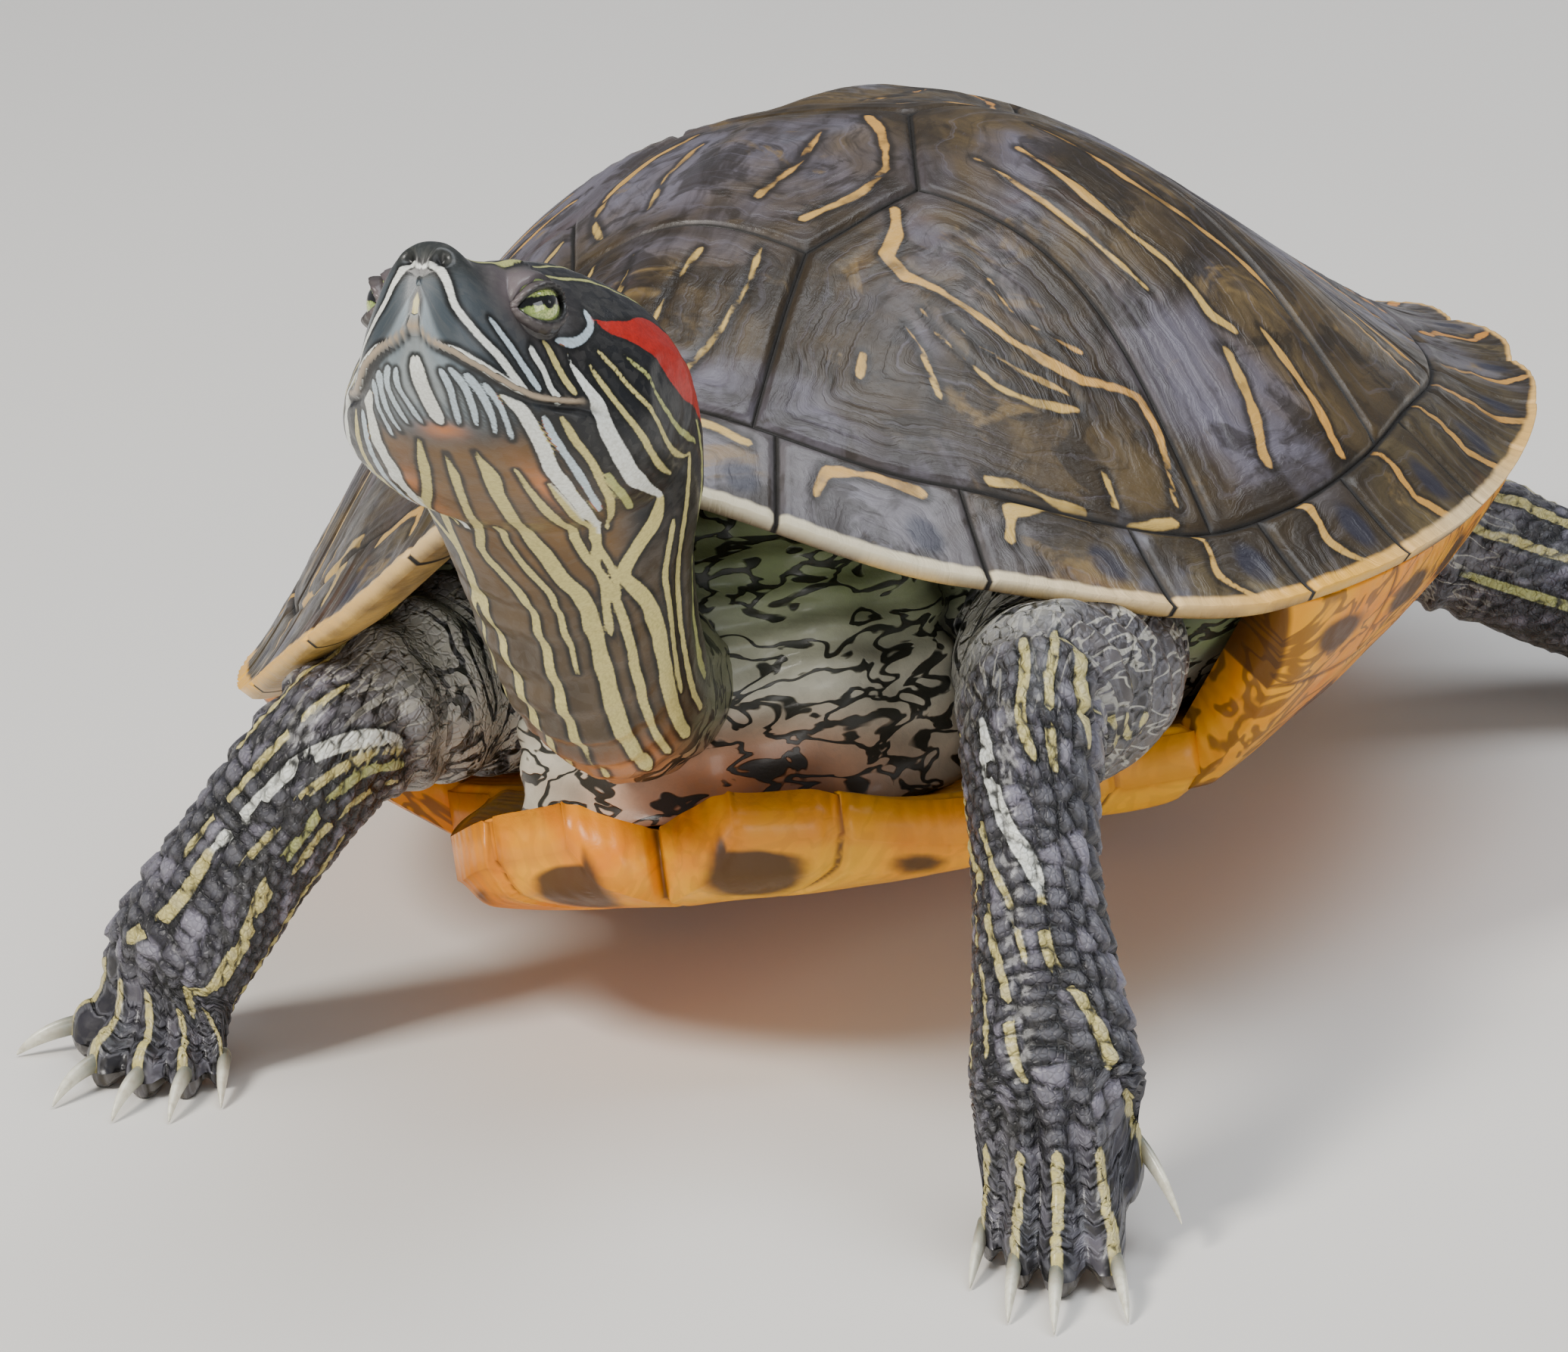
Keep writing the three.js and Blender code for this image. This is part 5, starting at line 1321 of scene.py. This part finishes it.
def build_tail():
    """The tail, a tapering tube with its tip turned to the left."""
    st = np.array(TAIL, float)
    keys = np.insert(np.cumsum(np.linalg.norm(np.diff(st[:, :3], axis=0), axis=1)), 0, 0)
    at, wide, high = path(keys, st[:, :3]), curve(keys, st[:, 3]), curve(keys, st[:, 4])
    s = np.arange(0, keys[-1], 0.9)
    angle = np.linspace(0, TAU, 48, endpoint=False)
    along = unit(at(s + 0.5) - at(s - 0.5) + 1e-9)
    across = unit(np.cross(along, (0, 0, 1)))
    up = np.cross(across, along)
    s, angle = np.broadcast_arrays(s[:, None], angle)
    grid = at(s) + across[:, None] * (wide(s) * np.cos(angle))[..., None]
    grid = grid + up[:, None] * (high(s) * np.sin(angle))[..., None]
    coat = ring_coat(s, angle, TAIL_BAR)
    rows, turns = np.meshgrid(np.arange(0, keys[-1] + 3, 2.0), np.arange(0, 360, 24), indexing="ij")
    centres = on_tail_bar(rows, turns).reshape(-1, 3)
    edge, own, _ = scale_pattern(coat, centres + 0.2 * noise(centres, 2, 81)[:, None])
    height = 0.45 * smooth(0, 0.8, edge) - 0.2 + 0.3 * noise(coat, 5, 82)
    grid = raised(grid, height * np.minimum(1, wide(s) / 5))
    grid[..., 2] = np.maximum(grid[..., 2], SKIN_FLOOR)
    line, tone = stripe_field(coat, TAIL_STRIPES, on_tail_bar)
    line += FAR * (s > keys[-1] - 4)
    tint = speckled(np.array([0.04, 0.04, 0.03]), 0.35 * noise(coat, 3, 83))
    fields = skin_fields(coat, tint, line=line, tone=tone, cell=edge, own=own)
    skin.add(grid, fields, cap_start=True, cap_end=True)


# The stripes' colours, in the order of STRIPE_TONES.
STRIPE_COLORS = [(0.80, 0.82, 0.76), (0.60, 0.52, 0.20), (0.42, 0.43, 0.15), (0.42, 0.012, 0.004),
                 (0.52, 0.62, 0.68)]


def skin_material():
    """Scaly skin: dark ground, crisp stripes with dark borders, and a red patch behind the eye."""
    s = Shader("skin")
    coat, tint = s.field("coat", True), s.field("tint", True)
    cell, own = s.field("cell"), s.field("own")
    fine, fine_own = s.cells(1.05, vector=coat), s.cells(1.05, "F1", vector=coat)
    grain = s.noise(2.4, 4, 0.6, vector=coat)
    color = s.over(tint, (0.11, 0.105, 0.085), s.noise(0.24, 4, 0.6, vector=coat), 0.4, 0.75, 0.12)
    color = s.mix(s.times(s.step(own, 0.55, 1.0), 0.18), color, (0.24, 0.23, 0.25))
    value = s.node("ShaderNodeRGBToBW")
    s.put(value.inputs[0], fine_own)
    color = s.over(color, (0.17, 0.16, 0.14), value.outputs[0], 0.35, 0.85, 0.12)
    # dark scrawls on loose skin, and pale streaks along a limb's root
    worms = s.noise(0.16, 2, 0.45, vector=s.stretch(coat, (0.75, 0.75, 1.7)), warp=0.7)
    scrawl = s.times(s.veins(worms, 0.05, 0.028), s.field("vein"))
    color = s.mix(scrawl, color, (0.010, 0.012, 0.009))
    long_worms = s.noise(0.4, 2, 0.45, vector=s.stretch(coat, (1, 1, 0.3)), warp=0.3)
    color = s.mix(s.times(s.veins(long_worms, 0.03, 0.014), s.field("pale")), color, (0.50, 0.48, 0.40))
    # stripes with a dark border
    ragged = s.fray(s.field("line"), grain, 0.26)
    color = s.over(color, (0.007, 0.007, 0.006), ragged, 0.95, 0.2, 0.92)
    ramp = s.node("ShaderNodeValToRGB")
    s.put(ramp.inputs[0], s.field("tone"))
    while len(ramp.color_ramp.elements) < len(STRIPE_COLORS):
        ramp.color_ramp.elements.new(0.5)
    for element, at, shade in zip(ramp.color_ramp.elements, STRIPE_TONES, STRIPE_COLORS):
        element.position, element.color = at, (*shade, 1)
    worn = s.mix(s.step(grain, 0.35, 0.7, 0, 0.35), ramp.outputs[0], (0.30, 0.27, 0.16), "MULTIPLY")
    color = s.over(color, worn, ragged, 0.14, -0.10)
    # dark joints of the scales, and a painted highlight that lightens each scale's middle
    color = s.mix(s.step(cell, 0.05, 0.34, 0.93, 0), color, BLACK)
    scaly = s.step(cell, 1.9, 1.2)
    color = s.mix(s.times(s.step(cell, 0.35, 1.0, 0, 0.16), scaly), color, (0.46, 0.46, 0.52))
    color = s.mix(s.times(s.step(fine, 0.0, 0.09, 0.25, 0), scaly), color, (0.012, 0.012, 0.011))
    # painted shade, black, in the nostrils and the mouth's crease
    color = s.mix(s.field("pit"), color, BLACK)
    height = s.math("ADD", s.times(s.step(fine, 0, 0.22), scaly), s.times(grain, 0.4))
    creases = s.math("SUBTRACT", s.step(cell, 0, 0.6), scrawl)
    normal = s.bump(height, 0.00012, s.bump(creases, 0.0004, strength=0.9))
    return s.finish(color, s.math("MULTIPLY_ADD", grain, 0.25, 0.26), normal, Coat_Weight=0.25,
                    Coat_Roughness=0.18, Specular_IOR_Level=0.3)


# ------------------------------------------------------------------ plastron and bridges
plastron_half = curve(PLASTRON_Y, PLASTRON_HALF)


def plastron_top(plan):
    """The height of the plastron's upper face, curled up in front and raised at its edges and rear."""
    x, y = plan[..., 0], plan[..., 1]
    edge = np.abs(x) / np.maximum(plastron_half(y), 1)
    curl = np.maximum(0, (-78 - y) / 26)
    rise = np.maximum(0, (y - 70) / 27)
    return PLASTRON_THICKNESS + 7 * curl**2 * (0.55 + 0.45 * edge) + 2.2 * edge**4 + 3 * rise**2


def plastron_underside(plan):
    sag = PLASTRON_SAG * (1 - smooth(-60, 45, plan[..., 1]))
    return plastron_top(plan) - PLASTRON_THICKNESS - sag


def on_floor(points):
    """Points of the shell lifted to the floor where they would lie below it."""
    up = SHELL_TURN[2]
    level = points @ up + SHELL_LIFT
    return points - np.minimum(level, 0)[..., None] * up


def belly_material(name, curls):
    """Plastron and bridge: orange-yellow keratin with dark brown blotches and seams."""
    s = Shader(name)
    line = s.field("line")
    color = s.over((0.78, 0.22, 0.004), (0.88, 0.40, 0.008), s.noise(45, 5, 0.6, warp=0.7), 0.32, 0.7)
    color = s.over(color, (0.88, 0.55, 0.03), s.noise(18, 3), 0.45, 0.7, 0.5)
    ragged = s.math("MULTIPLY_ADD", s.noise(110, 4), 0.5, s.field("blotch"))
    color = s.over(color, (0.035, 0.018, 0.008), ragged, 0.62, 0.95, 0.92)
    curl = s.veins(s.noise(55, 2, 0.5, warp=2.4), 0.05, 0.02)
    color = s.mix(s.times(curl, curls), color, (0.10, 0.045, 0.015))
    color = s.over(color, (0.08, 0.03, 0.008), line, 0.7, 0.1, 0.85)
    color = s.over(color, (0.55, 0.16, 0.01), s.field("ring"), 1.6, 0.2, 0.35)
    growth = s.math("SINE", s.times(s.math("MULTIPLY_ADD", s.noise(80, 3), 3, line), 2.4))
    normal = s.bump(s.math("MULTIPLY_ADD", growth, 0.3, s.times(s.noise(800, 4), 0.5)), 0.00014)
    rough = s.step(s.noise(200, 4), 0.3, 0.8, 0.32, 0.55)
    return s.finish(color, rough, normal, Coat_Weight=0.1, Coat_Roughness=0.2, Specular_IOR_Level=0.3)


BELLY, BRIDGE = belly_material("belly", 0.12), belly_material("bridge", 0.7)
PLASTRON_SEAMS = [(-84, -0.64), (-60, 0.15), (-20, 0.04), (22, 0.28), (56, 0.45)]  # y at the midline, slope
PLASTRON_SPOTS = [(13.5, -103.5, 8), (36, -94, 7.5), (21, -72, 8), (27, -40, 10), (29, 2, 11), (25, 42, 9),
                  (13, 76, 7)]  # distance from the midline, y, size
BRIDGE_SPOTS = [(0.12, 0.25), (0.38, 0.22), (0.64, 0.24), (0.9, 0.25), (0.3, 0.75), (0.7, 0.72)]
BRIDGE_BEARINGS, BRIDGE_LANDINGS, BRIDGE_BULGE = (63.0, 114.0), (-45.0, 33.0), 4.0


def flat_noise(plan, size, seed):
    return noise(plan @ np.eye(2, 3), size, seed)


def build_plastron():
    """The plastron, one plate with grooves where its scutes meet and a blotch on each."""
    front, rear = PLASTRON_Y[0], PLASTRON_Y[-1]
    rows = [np.linspace(front, -88, 34), np.linspace(-87.3, 90, 220), np.linspace(90.5, rear, 12)]
    t = np.concatenate(rows)[None, :]
    s = spread(100, 1.0)[:, None] * 2 - 1
    plan = np.stack(np.broadcast_arrays(s * plastron_half(t), t), -1)
    plan[..., 1] += 2.2 * bump(plan[..., 0], 0, 3) * bump(t, front, 5)
    x, y = plan[..., 0], plan[..., 1]
    border = (1 - np.abs(s)) * plastron_half(t)
    wave = 0.7 * flat_noise(plan, 6, 93)
    seams = [np.abs(y - at - slope * np.abs(x) + wave) / np.hypot(1, slope) for at, slope in PLASTRON_SEAMS]
    line = np.minimum(np.min(seams, axis=0), np.abs(x + 0.6 * np.sin(y / 9)))
    spots = sum(bump(np.hypot(np.abs(x) - out, y - at), 0, size) for out, at, size in PLASTRON_SPOTS)
    # rounded edges, and grooves along the seams
    groove = 1 - smooth(0.15, 1.3, line)
    high = plastron_top(plan) - (1.5 * (1 - smooth(0, 4.0, border)) ** 2 + 0.8 * groove
                                 + 0.4 * flat_noise(plan, 9, 92))
    low = plastron_underside(plan) + 2.8 * (1 - smooth(0, 5.5, border)) ** 2 + 0.6 * groove
    low = low + 0.25 * flat_noise(plan, 8, 91)
    top, bottom = (np.concatenate([plan, level[..., None]], -1) for level in (high, low))
    for sheet in (top, bottom):
        sheet[..., 1] += smooth(-90, -99, y) * (0.2 + 1.3 * groove)
    fields = {"ring": np.broadcast_to(border, x.shape), "line": line,
              "blotch": spots * smooth(0.3, 2.4, border)}
    plate("plastron_plate", "plastron", top, on_floor(bottom), fields, BELLY, below=("blotch",))


def bridge_sheet(inner, s, u):
    """One face of the left bridge, from under the marginal scutes down to the plastron's edge."""
    bearing, y_low = lerp(*BRIDGE_BEARINGS, s), lerp(*BRIDGE_LANDINGS, s)
    across = 0.42 if inner else 0.97
    plan = plan_at(bearing, lerp(marginal_ring(bearing), 1, across))
    high = over_dome(plan, -marginal_depth(across) - 0.5)
    low_plan = np.stack([plastron_half(y_low) + (-2.0 if inner else 0.2), y_low], -1)
    height = plastron_top(low_plan) if inner else plastron_underside(low_plan) + 0.6
    points = lerp(high, np.concatenate([low_plan, height[..., None]], -1), u[..., None])
    if not inner:
        points[..., 0] += BRIDGE_BULGE * np.sin(np.pi * u) ** 0.8
    return points


def build_bridge(word, side):
    """The plate that joins the plastron to the carapace on one side."""
    s, u = np.linspace(0, 1, 110)[:, None], np.linspace(0, 1, 70)[None, :]
    outer, inner = bridge_sheet(False, s, u), bridge_sheet(True, s, u)
    bearing = lerp(*BRIDGE_BEARINGS, s)
    seam = np.min([np.abs(bearing - at) for at in MARGINAL_SEAMS[4:8]], axis=0) * 1.4
    lower = np.abs(u - 0.45 - 0.05 * np.sin(s * 7)) * 34
    line = np.minimum(seam + 30 * (u > 0.46), lower)
    ends = np.minimum(s, 1 - s) * 78
    outer[..., 0] += 0.45 * (smooth(0, 0.9, line) - 1) + 0.3 * noise(outer, 7, 92)
    outer[..., 0] -= 2.5 * (1 - smooth(0, 4, ends)) ** 2
    spots = sum(bump(s, at, 0.09) * bump(u, up, 0.13) for at, up in BRIDGE_SPOTS)
    fields = {"ring": np.broadcast_to(ends + 3, line.shape), "line": line, "blotch": spots}
    outer, inner = outer * (side, 1, 1), inner * (side, 1, 1)
    plate(f"bridge_plate_{word}", f"bridge_{word}", outer, inner, fields, BRIDGE)


# ------------------------------------------------------------------ eyes and claws
def eye_material():
    """A wet eye: green-gold iris, black round pupil and the dark bar that crosses it."""
    s = Shader("eye")
    gaze = s.node("ShaderNodeSeparateXYZ")
    s.put(gaze.inputs[0], s.field("gaze", True))
    across, up = gaze.outputs[0], gaze.outputs[1]
    out = s.math("SQRT", s.math("ADD", s.times(across, across), s.times(up, up)))
    iris = s.over((0.20, 0.30, 0.06), (0.62, 0.68, 0.22), s.noise(3200, 3), 0.35, 0.65)
    iris = s.over(iris, (0.30, 0.40, 0.12), out, 0.3, 0.75)
    sway = s.math("ADD", s.math("SUBTRACT", up, 0.05), s.times(across, 0.06))
    bar = s.math("ADD", s.math("ABSOLUTE", sway), s.times(s.noise(1500, 2), 0.16))
    color = s.over(iris, (0.006, 0.006, 0.005), bar, 0.235, 0.185)
    color = s.over(color, (0.003, 0.003, 0.003), out, 0.21, 0.17)
    color = s.over(color, (0.02, 0.018, 0.014), out, 0.78, 0.86)
    return s.finish(color, 0.06, None, Coat_Weight=1.0, Coat_Roughness=0.02)


EYE_ROWS, EYE_COLUMNS, CORNEA_BULGE = 48, 72, 0.05


def build_eyes():
    """Each eyeball. gaze is the place on it, across, up and out, moved off the iris on its back."""
    material = eye_material()
    polar = np.linspace(0.001, np.pi - 0.001, EYE_ROWS)[:, None]
    polar, turn = np.broadcast_arrays(polar, np.linspace(0, TAU, EYE_COLUMNS, endpoint=False))
    place = np.stack([np.sin(polar) * np.cos(turn), np.sin(polar) * np.sin(turn), np.cos(polar)], -1)
    ball = place * (EYE_RADIUS * (1 + CORNEA_BULGE * bump(polar, 0, 0.55)))[..., None]
    gaze = place.reshape(-1, 3).copy()
    gaze[gaze[:, 2] < 0, 0] += 2
    gaze[:, 2] = np.sign(gaze[:, 2])
    faces, end = grid_faces(EYE_ROWS, EYE_COLUMNS, 0, True), np.arange(EYE_COLUMNS)[None]
    offset = ball[..., :1] * EYE_LONG + ball[..., 1:2] * EYE_UP + ball[..., 2:] * EYE_AXIS
    local = EYE_AT + offset / HEAD_SCALE
    for word, side in SIDES:
        points = in_head(local * (1, side, 1)).reshape(-1, 3)
        turned = faces[:, ::-1] if inside_out(points, faces) else faces
        caps = [end[:, ::-1], (EYE_ROWS - 1) * EYE_COLUMNS + end]
        piece = make_mesh(f"eyeball_{word}", points + CENTRE, [turned, *caps], {"gaze": gaze}, material)
        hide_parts(f"eye_{word}")


def claw_material():
    """Horn, dark at the root and pale towards the tip, with fine streaks."""
    s = Shader("claw")
    streak = s.noise(700, 4, 0.6)
    color = s.mix(s.field("along"), (0.16, 0.17, 0.13), (0.78, 0.76, 0.62))
    color = s.over(color, (0.34, 0.28, 0.18), streak, 0.4, 0.7, 0.4)
    return s.finish(color, 0.32, s.bump(streak, 0.00008), Coat_Weight=0.3, Coat_Roughness=0.2)


CLAW_ROWS, CLAW_COLUMNS = 16, 14
CLAW_ROOT, CLAW_ARCH = 2.6, 2.9  # how deep a claw sits in its toe, and how high it arches
CLAW_THICKNESS = {"fore": 1.15, "hind": 1.05}
CLAWS = {"fore": 5, "hind": 4}


def build_claws(legs):
    """Five claws on each forefoot and four on each hind foot, each an arched cone."""
    body = Body()
    turn = np.linspace(0, TAU, CLAW_COLUMNS, endpoint=False)[None, :]
    u = np.linspace(0, 1, CLAW_ROWS)[:, None]
    for leg in legs.values():
        for end, tip, heading in zip(leg.ends[:CLAWS[leg.kind]], leg.tips, leg.heading):
            start = end - heading * CLAW_ROOT + (0, 0, 0.2)
            arch = end + heading * leg.claw * 0.52 + (0, 0, CLAW_ARCH)
            spine = (1 - u) ** 2 * start + 2 * u * (1 - u) * arch + u**2 * tip
            across = np.cross(heading, (0, 0, 1))
            up = unit(np.cross(across, unit(np.gradient(spine, axis=0))))
            size = CLAW_THICKNESS[leg.kind] * (1 - u**2) ** 0.85 + 0.12
            ring = spine[:, None] + across * (size * 0.8 * np.cos(turn))[..., None]
            ring = ring + up[:, None] * (size * 1.1 * np.sin(turn))[..., None]
            ring[..., 2] = np.maximum(ring[..., 2], CLAW_FLOOR)
            along = np.broadcast_to(smooth(0.1, 0.6, u), ring.shape[:2])
            body.add(ring, {"along": along}, cap_start=True, cap_end=True)
    body.make("claws", claw_material())


# ------------------------------------------------------------------ the whole animal
FORE_RINGS, HIND_RINGS = (96, 0.72), (64, 1.1)  # points round a leg, and the gap between its rings


def build_flesh(legs):
    """The one skin of the head, neck, legs, trunk and tail."""
    build_head()
    build_lids()
    for name, leg in legs.items():
        build_leg(name, leg, *(FORE_RINGS if leg.kind == "fore" else HIND_RINGS))
    build_trunk()
    build_tail()
    flesh = skin.make("skin", skin_material())
    for node in ("trunk", "neck", "head", "tail"):
        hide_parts(node)
    for word, _ in SIDES:
        for node in ("upper_arm", "forearm", "forefoot", "thigh", "shin", "hindfoot"):
            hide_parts(f"{node}_{word}")


def build_turtle():
    legs = {name: Leg(**shape) for name, shape in LEGS.items()}
    build_carapace()
    build_flesh(legs)
    build_claws(legs)
    build_eyes()
    build_plastron()
    for word, side in SIDES:
        build_bridge(word, side)


# ------------------------------------------------------------------ stage, light and camera
# Each light: name, place and aim in metres, size, power, colour.
LIGHTS = [
    ("key", (-0.55, -0.75, 1.1), (0, -0.05, 0.06), 0.42, 21, (1.0, 0.96, 0.9)),
    ("overhead", (0.35, 0.25, 1.25), (0, 0, 0.08), 0.9, 13, (0.9, 0.94, 1.0)),
    ("side", (1.3, -0.6, 0.5), (0, 0, 0.06), 0.8, 6, (0.95, 0.97, 1.0)),
    ("front", (0.25, -1.4, 0.28), (0, 0, 0.05), 0.5, 4, (1.0, 0.97, 0.93)),
]
SKY, SKY_STRENGTH, FLOOR_REACH = (0.86, 0.9, 1.0, 1), 0.24, 4.0
CAMERA_AT = np.array([461.0, -1154.3, 451.6])
CAMERA_TURN, CAMERA_RISE, CAMERA_ROLL = np.radians([22.743, 18.940, -5.172])
SENSOR, LENS = 36, 212.07


def place(name, data, at, right, up, back):
    """An object in the scene at a place in metres, turned to three axes."""
    made = bpy.data.objects.new(name, data)
    bpy.context.scene.collection.objects.link(made)
    made.matrix_world = Matrix.Translation(at) @ Matrix(np.stack([right, up, back], 1).tolist()).to_4x4()
    return made


def set_stage():
    """A pale floor under a plain sky, and soft studio lights."""
    world = bpy.data.worlds.new("studio")
    world.use_nodes = True
    world.node_tree.nodes["Background"].inputs["Color"].default_value = SKY
    world.node_tree.nodes["Background"].inputs["Strength"].default_value = SKY_STRENGTH
    bpy.context.scene.world = world
    mesh = bpy.data.meshes.new("floor")
    corners = [(x * FLOOR_REACH, y * FLOOR_REACH, 0) for x, y in ((-1, -1), (1, -1), (1, 1), (-1, 1))]
    mesh.from_pydata(corners, [], [(0, 1, 2, 3)])
    floor = bpy.data.objects.new("floor", mesh)
    bpy.context.scene.collection.objects.link(floor)
    s = Shader("floor")
    mesh.materials.append(s.finish(s.mix(s.noise(6, 4), (0.72, 0.70, 0.66), (0.76, 0.74, 0.70)), 0.75))
    for name, at, aim, size, power, color in LIGHTS:
        light = bpy.data.lights.new(name, "AREA")
        light.size, light.energy, light.color = size, power, color
        back = unit(np.subtract(at, aim))
        across = unit(np.cross([0, 0, 1], back))
        place(name, light, at, across, np.cross(back, across), back)


def set_camera():
    """A long lens, which looks down a little from the front left."""
    turn, rise, roll = CAMERA_TURN, CAMERA_RISE, CAMERA_ROLL
    back = np.array([np.sin(turn) * np.cos(rise), -np.cos(turn) * np.cos(rise), np.sin(rise)])
    level = np.array([np.cos(turn), np.sin(turn), 0])
    upright = np.cross(back, level)
    right = np.cos(roll) * level + np.sin(roll) * upright
    up = -np.sin(roll) * level + np.cos(roll) * upright
    data = bpy.data.cameras.new("camera")
    data.sensor_width, data.lens = SENSOR, LENS
    bpy.context.scene.camera = place("camera", data, (CAMERA_AT + CENTRE) * MM, right, up, back)


build_turtle()
set_stage()
set_camera()
